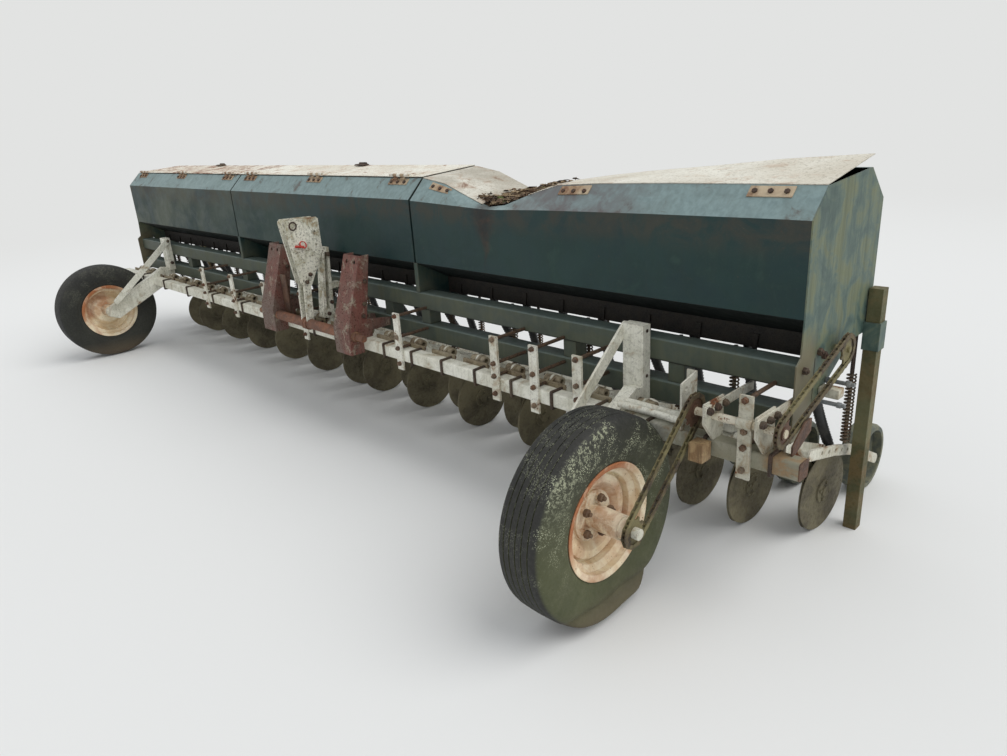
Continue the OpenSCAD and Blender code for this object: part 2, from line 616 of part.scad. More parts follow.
// Seed hoses from the cups to the boots behind the discs
hose_r = 16;
boot_back = 72;
module seed_hoses() color("black") place()
    for (i = [0:rows - 1]) translate([row_x(i), 0, 0]) {
        y = rank_y(i) + boot_back;
        hose_top = floor_z - 100;
        difference() {
            rod([0, shaft_y - 6, hose_top + 24], [0, y, 330], hose_r);
            block([-30, shaft_y - 60, hose_top], [30, shaft_y + 60, hose_top + 60]);
        }
        rod([0, y, 345], [0, y + 8, 60], 11);
    }

// Hitch posts: two channels open to the rear, upright on the bar's front and leaning back above it.
// Their side plates reach back to the lower frame tube.
post_w = 150;
post_t = 8;
post_low_z = 520;
post_shoulder_z = 660;
post_top_z = 1040;
gusset_z = pivot[1] + boss_r + 7;
shaft_front = bar_front + shaft_tube_r + 19;
link_z = 620;
post_front = [[-bar_front - 86, post_low_z], [-bar_front - 86, post_shoulder_z],
    [-bar_front + 39, post_top_z]];
post_back = [[-bar_front + 99, post_top_z], [-bar_front + 39, tube_z[0] + tube + 14],
    [0, tube_z[0] + tube - corner_r], [0, gusset_z], [-bar_back, gusset_z], [-bar_back, bar_top_z],
    [-bar_front, bar_top_z], [-bar_front, post_low_z]];
post_hole_r = 11;
module hitch_post(x) translate([x, 0, 0]) difference() {
    along(-post_w / 2, post_w / 2) polygon(concat(post_front, post_back));
    along(-post_w / 2 + post_t, post_w / 2 - post_t)
        polygon([post_front[0] + [post_t, -1], post_front[1] + [post_t, 0], post_front[2] + [post_t, 1],
            [1, post_top_z + 1], [1, post_low_z - 1]]);
    translate([0, -shaft_front, link_z]) round_x(-post_w, post_w, shaft_tube_r + 0.3);
    for (side = [-1, 1]) rod([side * 36, -bar_front - 20, post_top_z - 34], [side * 36, 0, post_top_z - 34],
        post_hole_r);
}
module hitch_posts() color("indianred") place()
    for (side = [-1, 1]) hitch_post(hitch_x + side * post_half);

// Cross shaft through both posts. A bush and a thinner lower link pin stand out at each end.
shaft_half = post_half + post_w / 2 + 2;
module cross_shaft() color("brown") place()
    translate([hitch_x, -shaft_front, link_z]) {
        round_x(-shaft_half, shaft_half, shaft_tube_r);
        for (x = [-collar_x, collar_x]) round_x(x - 9, x + 9, shaft_tube_r + 8);
        for (side = [0, 1]) mirror([side, 0, 0]) {
            round_x(shaft_half, shaft_half + link_bush, link_r + 7);
            round_x(shaft_half + link_bush, shaft_half + link_bush + link_len, link_r);
        }
    }

// Mast: two tapered plates with the top link hole, each on a strut that rides on the cross shaft
mast_gap = 46;
mast_t = 12;
collar_x = mast_gap / 2 - 10;
mast_back = -94;
mast_line = [[-311, 1206], [-308, 1216], [-296, 1226], [mast_back - 12, 1219], [mast_back, 1208],
    [mast_back, 1028], [-190, 848], [-203, 840], [-240, 842], [-258, 867]];
mast_holes = [[-129, 1140], [-129, 1066]];
top_link = [-257, 1186];
strut_w = 46;
strut_top = [-222, 862];
module hitch_mast() color("ivory") place()
    for (side = [0, 1]) translate([hitch_x, 0, 0]) mirror([side, 0, 0]) {
        difference() {
            along(mast_gap / 2, mast_gap / 2 + mast_t) polygon(mast_line);
            translate([0, top_link[0], top_link[1]]) round_x(0, mast_gap, top_hole_r);
            for (p = mast_holes) translate([0, p[0], p[1]]) round_x(0, mast_gap, 8);
        }
        difference() {
            along(mast_gap / 2, mast_gap / 2 + mast_t)
                flat_bar([strut_top, [-shaft_front, link_z]], strut_w);
            translate([0, -shaft_front, link_z]) round_x(0, mast_gap, shaft_tube_r + 0.3);
        }
    }

// The stay behind the mast: a channel with a slot down its near face, bolted to both tubes on blocks
stay_x = [hitch_x - 23, hitch_x + 23 + mast_t];
stay_top_z = 1044;
stay_line = [[-146, tube_z[0] + 40], [mast_back - 6, stay_top_z - 44], [mast_back, stay_top_z - 16],
    [mast_back, stay_top_z], [mast_back + 42, stay_top_z - 4], [-76, tube_z[0] + 22]];
slot_line = [[-122, tube_z[0] + 90], [-84, stay_top_z - 30], [-64, stay_top_z - 32], [-98, tube_z[0] + 82]];
stay_holes = [[-60, 960], [-66, 840]];
module mast_stay() color("ivory") place() {
    difference() {
        along(stay_x[0], stay_x[1]) polygon(stay_line);
        along(stay_x[0] + 8, stay_x[1] + 1) polygon(slot_line);
        for (p = stay_holes) translate([0, p[0], p[1]]) round_x(stay_x[0] - 1, stay_x[0] + 9, 6);
    }
    for (k = [0, 1]) block([stay_x[0], [-82, -74][k], tube_z[k] + 34], [stay_x[1], 0, tube_z[k] + 64]);
}

// Ground wheels: tyre, rim and hub turn on the arm's spindle
bead_gap = 0.3;
module tyre_body() {
    side = tyre_w / 2;
    bead = (rim_r - 18 + bead_gap) / cos(180 / tyre_steps);
    lip = (rim_r + bead_gap) / cos(180 / tyre_steps);
    half_profile = [[bead, rim_w / 2 - 10], [lip, rim_w / 2 - 4.8], [lip + 20, rim_w / 2 + 4],
        [rim_r + 72, side], [tyre_r - 34, side - 8], [tyre_r - 9, side - 28], [tyre_r, side - 58]];
    n = len(half_profile);
    profile = concat(half_profile, [for (k = [n - 1:-1:0]) [half_profile[k][0], -half_profile[k][1]]]);
    m = len(profile);
    polyhedron(
        points = [for (i = [0:tyre_steps - 1], p = profile)
            let (a = 360 * (i + 0.5) / tyre_steps) [p[1], p[0] * cos(a), p[0] * sin(a)]],
        faces = concat(
            [for (i = [0:tyre_steps - 1], k = [0:m - 1]) let (j = (i + 1) % tyre_steps, l = (k + 1) % m)
                [i * m + k, j * m + k, i * m + l]],
            [for (i = [0:tyre_steps - 1], k = [0:m - 1]) let (j = (i + 1) % tyre_steps, l = (k + 1) % m)
                [i * m + l, j * m + k, j * m + l]]));
}
module rim_body() {
    side = rim_w / 2;
    well = rim_r - 42;
    seat = rim_r - 18;
    barrel = [[rim_r, -side], [rim_r, -side + 4], [seat, -side + 8], [seat, -side + 32],
        [well, -side + 46], [well, side - 46], [seat, side - 32], [seat, side - 8], [rim_r, side - 4],
        [rim_r, side], [rim_r - 6, side], [seat - 5, side - 6], [seat - 5, side - 30], [well - 5, side - 44],
        [well - 5, -side + 44], [seat - 5, -side + 30], [seat - 5, -side + 6], [rim_r - 6, -side]];
    dish = [[46, -6], [100, -6], [124, 18], [148, 18], [156, 6], [well - 4, 6],
        [well - 4, 12], [160, 12], [152, 24], [122, 24], [98, 0], [46, 0]];
    rotate([0, 90, 0]) rotate_extrude($fn = 64) {
        polygon(barrel);
        polygon(dish);
    }
}
module hub_body() difference() {
    union() {
        round_x(-95, 140, 44);
        round_x(0, 12, 92);
        for (a = [0:72:288]) rotate([a, 0, 0]) translate([0, 70, 0]) round_x(10, 34, 11);
        round_x(138, 160, 36);
    }
    round_x(-96, 161, spindle_r + hub_clear);
}
module at_wheel(side) mirror([side, 0, 0]) translate([wheel_x, -wheel_front, wheel_z]) children();
module tyre_near() color("black") place() at_wheel(0) tyre_body();
module rim_near() color("chocolate") place() at_wheel(0) rim_body();
module hub_near() color("saddlebrown") place() at_wheel(0) hub_body();
module tyre_far() color("black") place() at_wheel(1) tyre_body();
module rim_far() color("chocolate") place() at_wheel(1) rim_body();
module hub_far() color("saddlebrown") place() at_wheel(1) hub_body();

// Wheel arm: a deep bar notched over the tool bar, a post on the tubes and the spindle
arm_x = [wheel_x - 192, wheel_x - 134];
wheel_post_z = 905;
wheel_post_x = [arm_x[0] - 38, arm_x[0] + 42];
module wheel_arm() {
    difference() {
        union() {
            along(arm_x[0], arm_x[1]) {
                polygon([[-wheel_front - 40, wheel_z - 24], [-wheel_front - 12, wheel_z + 52], [-92, 668],
                    [-30, 656], [0, 622], [0, 540], [-60, 540], [-wheel_front + 30, wheel_z - 54]]);
                polygon([[-46, tube_z[0]], [0, tube_z[0]], [0, wheel_post_z], [-46, wheel_post_z]]);
            }
            along(wheel_post_x[0], wheel_post_x[1])
                polygon([[-46, 640], [0, 640], [0, wheel_post_z], [-46, wheel_post_z]]);
            translate([0, -wheel_front, wheel_z]) {
                round_x(arm_x[1], wheel_x - 96, 40);
                round_x(arm_x[1], wheel_x + 206, spindle_r);
            }
        }
        block([0, -bar_front, bar_low_z], [bar_len, -bar_back, bar_top_z]);
        translate([0, pivot[0], pivot[1]]) round_x(row_x(rows - 3) - arm_t / 2 - 40, arm_x[1] + 1, boss_r);
        block([0, -bar_back - 1, bar_low_z - 20], [bar_len, -bar_back + bracket_t + 1, plate_clear_z]);
        block([0, 0, 0], [bar_len, tube + 100, fold_low_z]);
    }
}
module wheel_arm_near() color("ivory") place() wheel_arm();
module wheel_arm_far() color("ivory") place() mirror([1, 0, 0]) wheel_arm();
module wheel_brace() along(wheel_post_x[0] - 12, wheel_post_x[0])
    flat_bar([[-24, wheel_post_z - 22], [-wheel_front + 26, wheel_z + 96]], 46);
module wheel_brace_near() color("ivory") place() wheel_brace();
module wheel_brace_far() color("ivory") place() mirror([1, 0, 0]) wheel_brace();

// Drive stand: two plates with bars back between the tubes carry the jackshaft. A bracket and two
// round tubes tie it to the wheel arm. A wooden block sits on a U-bolt beside the chain.
jack = [-192, 690];
jack_r = 14;
drive_x = [half - 210, half - 26];
chain_x = [wheel_x + 180, half + 40];
bracket_x = half - 336;
jack_plate = [[-bar_front, bar_top_z], [-bar_front - 63, bar_top_z + 76], [-bar_front - 63, 746],
    [-bar_back, 746], [-bar_back, bar_top_z]];
bracket_line = [[-bar_front, bar_top_z], [-bar_back, bar_top_z], [-bar_back, gusset_z],
    [-92, gusset_z], [-92, 796], [-bar_front, 772]];
stand_bar_z = [706, 740];
wood_x = row_x(rows - 2) + band_x;
module drive_stand() color("ivory") place() {
    for (x = drive_x) difference() {
        union() {
            along(x, x + 8) polygon(jack_plate);
            block([x + 8, -262, stand_bar_z[0]], [x + 16, tube - 20, stand_bar_z[1]]);
        }
        translate([0, jack[0], jack[1]]) round_x(x - 1, x + 20, jack_r + 0.3);
        for (y = [-240, -140])
            translate([0, y, (stand_bar_z[0] + stand_bar_z[1]) / 2]) round_x(x - 1, x + 20, 6);
    }
    difference() {
        union() {
            along(bracket_x, bracket_x + 9) polygon(bracket_line);
            block([bracket_x - 30, -100, gusset_z], [bracket_x, -92, 796]);
        }
        translate([0, -bar_front + 26, 748]) round_x(bracket_x - 1, bracket_x + 10, 8);
    }
    translate([0, -150, bar_top_z + 34]) round_x(arm_x[1], bracket_x, 17);
    translate([0, -bar_front - 10, bar_top_z + 43]) round_x(arm_x[1], bracket_x + 5, 13);
    block([wood_x - 27, -bar_front - 66, bar_low_z - 4], [wood_x + 27, -bar_front - band_t, bar_top_z - 1]);
}

// Roller chains: two side plates as scalloped bands, a roller at each joint, and toothed sprockets
// between the plates. Arc lengths are used, so that every roller sits in a gap between two teeth.
chain_pitch = 31.75;
roller_r = 6;
plate_gap = 9;
plate_t = 3;
joint_h = 9;
waist_h = 6;
tooth_t = 6.5;
teeth = [10, 11, 9, 10];
// Columns of tooth_line: share of a tooth's pitch after the gap's middle, and 1 at the tip
tooth_line = [[0.24, 0], [0.42, 1], [0.58, 1], [0.76, 0]];
function sprocket_r(n) = n * chain_pitch / 360 * 180 / PI;
hub_r = sprocket_r(teeth[0]);
jack_big_r = sprocket_r(teeth[1]);
jack_small_r = sprocket_r(teeth[2]);
feed_r = sprocket_r(teeth[3]);

// Path of a chain round two sprockets: length, then place and outward direction at a length along it
function lean(p, rp, q, rq) = acos((rp - rq) / norm(q - p));
function arcs(p, rp, q, rq) = let (a = lean(p, rp, q, rq), d = norm(q - p) * sin(a))
    [d, rq * 2 * a * PI / 180, d, rp * (360 - 2 * a) * PI / 180];
function chain_len(p, rp, q, rq) = let (c = arcs(p, rp, q, rq)) c[0] + c[1] + c[2] + c[3];
function chain_at(p, rp, q, rq, s) = let (c = arcs(p, rp, q, rq), a = lean(p, rp, q, rq), b = heading(p, q),
    n = unit(b - a), m = unit(b + a))
    s < c[0] ? [p + rp * n + (q + rq * n - p - rp * n) * s / c[0], n] :
    s < c[0] + c[1] ? let (u = unit(b - a + (s - c[0]) / rq * 180 / PI)) [q + rq * u, u] :
    s < c[0] + c[1] + c[2] ? [q + rq * m + (p + rp * m - q - rq * m) * (s - c[0] - c[1]) / c[2], m] :
    let (u = unit(b + a + (s - c[0] - c[1] - c[2]) / rp * 180 / PI)) [p + rp * u, u];

function links_of(p, rp, q, rq) = round(chain_len(p, rp, q, rq) / chain_pitch);
function step_of(p, rp, q, rq) = chain_len(p, rp, q, rq) / links_of(p, rp, q, rq);

module roller_chain(x, p, rp, q, rq) translate([x, 0, 0]) {
    links = links_of(p, rp, q, rq);
    step = step_of(p, rp, q, rq);
    joints = [for (k = [0:links - 1]) chain_at(p, rp, q, rq, (k + 0.5) * step)];
    waists = [for (k = [0:links - 1]) chain_at(p, rp, q, rq, ((k + 1) % links) * step)];
    outer = [for (k = [0:links - 1], w = [0, 1]) w == 0 ? joints[k][0] + joint_h * joints[k][1]
        : waists[k][0] + waist_h * waists[k][1]];
    inner = [for (k = [0:links - 1]) joints[k][0] - joint_h * joints[k][1]];
    for (side = [0, 1]) mirror([side, 0, 0]) along(plate_gap / 2, plate_gap / 2 + plate_t) difference() {
        polygon(outer);
        polygon(inner);
    }
    for (j = joints) translate([-plate_gap / 2 - 1, j[0][0], j[0][1]]) rotate([0, 90, 0])
        cylinder(h = plate_gap + 2, r = roller_r, $fn = 6);
}

// A sprocket on centre c whose first tooth gap lies at angle a
module sprocket(x, c, n, a, bore_r) translate([x, c[0], c[1]]) difference() {
    root = sprocket_r(n) - roller_r - 0.1;
    along(-tooth_t / 2, tooth_t / 2) polygon([for (k = [0:n - 1], t = tooth_line)
        (root + t[1] * (roller_r + 4)) * unit(a + 360 * (k + t[0]) / n)]);
    round_x(-tooth_t, tooth_t, bore_r);
}
// Angle of the first joint on sprocket q, and of the first joint on sprocket p
function first_gap(p, rp, q, rq) = let (run = arcs(p, rp, q, rq)[0], step = step_of(p, rp, q, rq),
    k = ceil(run / step - 0.5))
    heading(p, q) - lean(p, rp, q, rq) + ((k + 0.5) * step - run) / rq * 180 / PI;
function last_gap(p, rp, q, rq) = let (c = arcs(p, rp, q, rq), run = c[0] + c[1] + c[2],
    step = step_of(p, rp, q, rq), k = ceil(run / step - 0.5))
    heading(p, q) + lean(p, rp, q, rq) + ((k + 0.5) * step - run) / rp * 180 / PI;

wheel_c = [-wheel_front, wheel_z];
feed_c = [shaft_y, shaft_z];
module jackshaft() color("ivory") place() {
    translate([0, jack[0], jack[1]]) {
        round_x(chain_x[0] - 12, chain_x[1] + 12, jack_r);
        for (x = chain_x) round_x(x - 9, x + 9, jack_r + 8);
    }
    sprocket(chain_x[0], jack, teeth[1], first_gap(wheel_c, hub_r, jack, jack_big_r), jack_r);
    sprocket(chain_x[1], jack, teeth[2], last_gap(jack, jack_small_r, feed_c, feed_r), jack_r);
}
module lower_chain() color("saddlebrown") place() {
    roller_chain(chain_x[0], wheel_c, hub_r, jack, jack_big_r);
    sprocket(chain_x[0], wheel_c, teeth[0], last_gap(wheel_c, hub_r, jack, jack_big_r), spindle_r);
}
module upper_chain() color("saddlebrown") place() {
    roller_chain(chain_x[1], jack, jack_small_r, feed_c, feed_r);
    sprocket(chain_x[1], feed_c, teeth[3], first_gap(jack, jack_small_r, feed_c, feed_r), shaft_r);
    translate([0, shaft_y, shaft_z]) round_x(half, chain_x[1] + 12, shaft_r);
}
guard_x = half + 52;
guard_line = [[-150, bar_top_z], [-bar_back, bar_top_z], [-20, bar_top_z + 46], [-20, bar_top_z + 92],
    [-70, bar_top_z + 92], [-150, bar_top_z + 34]];
module chain_guard() color("brown") place() along(guard_x, guard_x + 6) polygon(guard_line);

// Parking stands slide in sleeves on the end panels
stand_x = half + 5 + stand / 2;
stand_y = hopper_depth - 27;
sleeve_z = [772, 879];
module stand_post(side) mirror([side, 0, 0])
    block([stand_x - stand / 2, stand_y - stand / 2, 0],
        [stand_x + stand / 2, stand_y + stand / 2, stand_top]);
module stand_near() color("olive") place() stand_post(0);
module stand_far() color("olive") place() stand_post(1);
module stand_sleeves() color("darkolivegreen") place()
    for (side = [0, 1]) mirror([side, 0, 0]) difference() {
        block([half, stand_y - stand / 2 - 6, sleeve_z[0]],
            [stand_x + stand / 2 + 6, stand_y + stand / 2 + 6, sleeve_z[1]]);
        block([stand_x - stand / 2 - stand_clear, stand_y - stand / 2 - stand_clear, 0],
            [stand_x + stand / 2 + stand_clear, stand_y + stand / 2 + stand_clear, stand_top + 200]);
    }

tool_bar();
bar_caps();
lower_tube();
upper_tube();
tube_posts();
rear_tube_bar();
end_panels();
hangers();
hopper_far();
hopper_mid();
hopper_near();
lid_far();
lid_mid();
lid_near_left();
lid_near_right();
lid_hinges();
feed_cups();
feed_shaft();
spring_shelf();
springs();
spring_rods();
pivot_brackets();
u_bolts();
bar_straps();
opener_arms();
opener_discs();
press_arms();
press_wheels();
seed_hoses();
hitch_posts();
cross_shaft();
hitch_mast();
mast_stay();
wheel_arm_near();
wheel_brace_near();
tyre_near();
rim_near();
hub_near();
wheel_arm_far();
wheel_brace_far();
tyre_far();
rim_far();
hub_far();
drive_stand();
jackshaft();
lower_chain();
upper_chain();
chain_guard();
stand_sleeves();
stand_near();
stand_far();
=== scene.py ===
import math
import random

import bmesh
import bpy
from mathutils import Matrix, Vector


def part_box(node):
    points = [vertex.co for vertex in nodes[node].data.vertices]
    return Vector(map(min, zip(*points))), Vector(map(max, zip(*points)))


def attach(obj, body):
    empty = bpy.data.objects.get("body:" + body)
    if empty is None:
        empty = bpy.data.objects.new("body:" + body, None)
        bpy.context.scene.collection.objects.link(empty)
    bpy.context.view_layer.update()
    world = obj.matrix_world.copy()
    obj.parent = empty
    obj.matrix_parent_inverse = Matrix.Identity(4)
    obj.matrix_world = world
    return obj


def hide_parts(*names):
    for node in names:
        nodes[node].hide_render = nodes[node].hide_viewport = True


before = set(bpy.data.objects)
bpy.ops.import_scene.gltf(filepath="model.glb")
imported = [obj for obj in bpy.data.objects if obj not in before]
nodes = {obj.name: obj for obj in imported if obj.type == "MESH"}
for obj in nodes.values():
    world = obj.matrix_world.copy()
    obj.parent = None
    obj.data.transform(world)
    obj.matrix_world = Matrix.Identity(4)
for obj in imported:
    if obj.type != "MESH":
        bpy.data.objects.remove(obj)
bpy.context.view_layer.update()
bpy.ops.object.select_all(action="DESELECT")

# Camera
# Stands at the near front corner, at eye height, and looks along the machine and a little down.
# Place, turn, tilt and roll were fitted to the straight edges of the hopper, tubes and wheels.
camera_place = Vector((3.983, -2.300, 1.674))
camera_turn, camera_tilt, camera_roll = (math.radians(a) for a in (46.72, 19.83, -3.74))
look = Vector((-math.sin(camera_turn) * math.cos(camera_tilt),
               math.cos(camera_turn) * math.cos(camera_tilt), -math.sin(camera_tilt)))
level_right = Vector((math.cos(camera_turn), math.sin(camera_turn), 0))
level_up = level_right.cross(look)
camera_right = math.cos(camera_roll) * level_right + math.sin(camera_roll) * level_up
camera_up = math.cos(camera_roll) * level_up - math.sin(camera_roll) * level_right
bpy.ops.object.camera_add()
camera = bpy.context.object
camera.data.lens = 25.64
camera.data.sensor_width = 36
camera.data.clip_end = 200
turned = Matrix((camera_right, camera_up, -look)).transposed().to_4x4()
camera.matrix_world = Matrix.Translation(camera_place) @ turned
bpy.context.scene.camera = camera


# Light and floor
# An even pale sky, a little brighter from high on the near end, and a plain pale floor.
# The camera sees the same pale tone behind the object as on the floor.
def add(tree, kind, settings=None, **inputs):
    """Adds a shader node, sets its settings, and plugs in or sets its named or numbered inputs."""
    node = tree.nodes.new("ShaderNode" + kind)
    for name, value in (settings or {}).items():
        setattr(node, name, value)
    for name, value in inputs.items():
        socket = node.inputs[int(name[1:])] if name[0] == "_" else node.inputs[name.replace("_", " ")]
        if isinstance(value, bpy.types.NodeSocket):
            tree.links.new(value, socket)
        else:
            socket.default_value = value
    return node


def chained(operation):
    """A function that takes values one after another through Math nodes of one kind."""
    def run(tree, first, *more):
        for value in more:
            first = add(tree, "Math", {"operation": operation}, _0=first, _1=value).outputs[0]
        return first
    return run


times, plus, less, most = (chained(kind) for kind in ("MULTIPLY", "ADD", "SUBTRACT", "MAXIMUM"))


def step(tree, value, low, high, start=0.0, end=1.0):
    """Turns low to high into start to end, smoothly, and keeps what is outside at the ends."""
    node = add(tree, "MapRange", {"interpolation_type": "SMOOTHSTEP"}, Value=value,
               From_Min=low, From_Max=high, To_Min=start, To_Max=end)
    return node.outputs["Result"]


def tone(red, green, blue):
    """A colour as it looks, in 0 to 255, as the linear colour that a socket takes."""
    parts = [c / 255 for c in (red, green, blue)]
    return [c / 12.92 if c <= 0.04045 else ((c + 0.055) / 1.055) ** 2.4 for c in parts] + [1.0]


pale = tone(226, 227, 226)
world = bpy.data.worlds.new("pale_sky")
bpy.context.scene.world = world
world.use_nodes = True
sky = world.node_tree
sky.nodes.clear()
ray = add(sky, "LightPath").outputs
seen = most(sky, ray["Is Camera Ray"], ray["Is Glossy Ray"], ray["Is Transmission Ray"])
lit = add(sky, "Background", Color=tone(250, 252, 255), Strength=0.72)
shown = add(sky, "Background", Color=pale, Strength=1.0)
choice = add(sky, "MixShader", _0=seen, _1=lit.outputs[0], _2=shown.outputs[0])
add(sky, "OutputWorld", Surface=choice.outputs[0])

bpy.ops.object.light_add(type="SUN", location=(4, 3, 6))
sun = bpy.context.object
sun.name = "soft_sun"
sun.data.energy = 1.5
sun.data.angle = math.radians(50)
sun.data.color = (1.0, 0.985, 0.96)
sun.rotation_euler = Vector((-0.62, -0.30, -0.95)).to_track_quat("-Z", "Y").to_euler()

fade_start, fade_end = 4.0, 13.0
bpy.ops.mesh.primitive_grid_add(x_subdivisions=8, y_subdivisions=8, size=160)
floor = bpy.context.object
floor.name = "floor"
floor_finish = bpy.data.materials.new("pale_floor")
floor_finish.use_nodes = True
tree = floor_finish.node_tree
tree.nodes.clear()
soft = add(tree, "BsdfDiffuse", Color=pale)
away = add(tree, "VectorMath", {"operation": "LENGTH"}, _0=add(tree, "TexCoord").outputs["Object"])
fade = step(tree, away.outputs["Value"], fade_start, fade_end)
plain = add(tree, "Emission", Color=pale, Strength=1.0)
blend = add(tree, "MixShader", _0=fade, _1=soft.outputs[0], _2=plain.outputs[0])
add(tree, "OutputMaterial", Surface=blend.outputs[0])
floor.data.materials.append(floor_finish)
bpy.context.scene.view_settings.view_transform = "Standard"
bpy.ops.object.select_all(action="DESELECT")


# Frame tubes and hopper sheet
# Square steel tubes and folded steel sheet, welded and under one coat of dark green paint. Outdoors
# it has gone chalky on top and brown along the folds, and rust and algae run down in streaks. Painted
# sky reflection lightens the tops as well, and painted shade darkens the faces that point down.
def mix(tree, share, first, second):
    """The colour between two, by a share from 0 to 1."""
    first, second = (tone(*c) if isinstance(c, tuple) else c for c in (first, second))
    return add(tree, "Mix", {"data_type": "RGBA"}, _0=share, _6=first, _7=second).outputs[2]


def over(tree, paint, *layers):
    """Paint with layers over it, each a share and a colour."""
    for share, colour in layers:
        paint = mix(tree, share, paint, colour)
    return paint


def noise(tree, place, scale, detail=6.0, rough=0.6, bend=0.0):
    node = add(tree, "TexNoise", Vector=place, Scale=scale, Detail=detail, Roughness=rough, Distortion=bend)
    return node.outputs["Fac"]


def stretched(tree, place, scale):
    """The place, stretched before a pattern is read there, for streaks."""
    return add(tree, "Mapping", {"vector_type": "POINT"}, Vector=place, Scale=scale).outputs[0]


def spot_on(tree):
    """The place on the object, by its axes."""
    return add(tree, "SeparateXYZ", Vector=add(tree, "TexCoord").outputs["Object"]).outputs


def facing_on(tree):
    """The way the surface faces, by its axes."""
    return add(tree, "SeparateXYZ", Vector=add(tree, "NewGeometry").outputs["Normal"]).outputs


def new_group(name, takes, gives):
    """An empty node group that takes numbers, each with its usual value, and gives sockets of a kind."""
    group = bpy.data.node_groups.new(name, "ShaderNodeTree")
    new_socket = group.interface.new_socket
    for label, value in takes.items():
        new_socket(name=label, in_out="INPUT", socket_type="NodeSocketFloat").default_value = value
    for label, kind in gives.items():
        new_socket(name=label, in_out="OUTPUT", socket_type=kind)
    return group, group.nodes.new("NodeGroupInput").outputs, group.nodes.new("NodeGroupOutput").inputs


def use(tree, group, **inputs):
    """Places a node group in a material with its own values."""
    node = tree.nodes.new("ShaderNodeGroup")
    node.node_tree = group
    for name, value in inputs.items():
        node.inputs[name].default_value = value
    return node.outputs


# Worn edges: where the surface turns within the radius, broken up by a fine noise
edges, takes, gives = new_group("worn_edges", {"Radius": 0.008, "Amount": 0.5},
                                {"Mask": "NodeSocketFloat", "Round": "NodeSocketVector"})
rounded = add(edges, "Bevel", {"samples": 4}, Radius=takes["Radius"]).outputs[0]
facing = add(edges, "NewGeometry").outputs["Normal"]
alike = add(edges, "VectorMath", {"operation": "DOT_PRODUCT"}, _0=rounded, _1=facing).outputs["Value"]
broken = noise(edges, add(edges, "TexCoord").outputs["Object"], 34, 8, 0.7)
worn = times(edges, step(edges, less(edges, 1.0, alike), 0.01, 0.16), step(edges, broken, 0.42, 0.62))
edges.links.new(times(edges, worn, takes["Amount"]), gives["Mask"])
edges.links.new(rounded, gives["Round"])

# Weather: patches, blotches, streaks that run down, rust runs, chips and a fine grain
patterns = ("Patches", "Blotches", "Streaks", "Runs", "Chips", "Grain")
weather, takes, gives = new_group("weather", {"Size": 1.0}, {name: "NodeSocketFloat" for name in patterns})
place = add(weather, "VectorMath", {"operation": "SCALE"}, _0=add(weather, "TexCoord").outputs["Object"],
            Scale=takes["Size"]).outputs[0]
for name, value in zip(patterns, (
        noise(weather, place, 1.7, 10, 0.62, 0.4),
        noise(weather, place, 8.5, 9, 0.66, 0.6),
        noise(weather, stretched(weather, place, (46, 46, 1.7)), 1, 6, 0.62, 0.3),
        noise(weather, stretched(weather, place, (11, 11, 0.7)), 1, 8, 0.68, 0.8),
        noise(weather, place, 58, 7, 0.72, 0.3),
        noise(weather, place, 420, 3, 0.6))):
    weather.links.new(value, gives[name])


def finish(name, build):
    """A material whose look is built by a function that fills its tree and gives its parts."""
    material = bpy.data.materials.new(name)
    material.use_nodes = True
    tree = material.node_tree
    tree.nodes.clear()
    surface = add(tree, "BsdfPrincipled", **build(tree))
    add(tree, "OutputMaterial", Surface=surface.outputs[0])
    return material


def surface(tree, paint, dry, low, high, tall, strength, depth, rounded=None):
    """A finish's colour, its roughness from low to high by a pattern, and its relief from a height."""
    relief = add(tree, "Bump", Height=tall, Strength=strength, Distance=depth)
    if rounded is not None:
        tree.links.new(rounded, relief.inputs["Normal"])
    return {"Base Color": paint, "Roughness": step(tree, dry, 0.3, 0.7, low, high),
            "Normal": relief.outputs[0]}


front_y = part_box("upper_tube")[0][1]
panel_top = 1.275
crease_x = 1.50


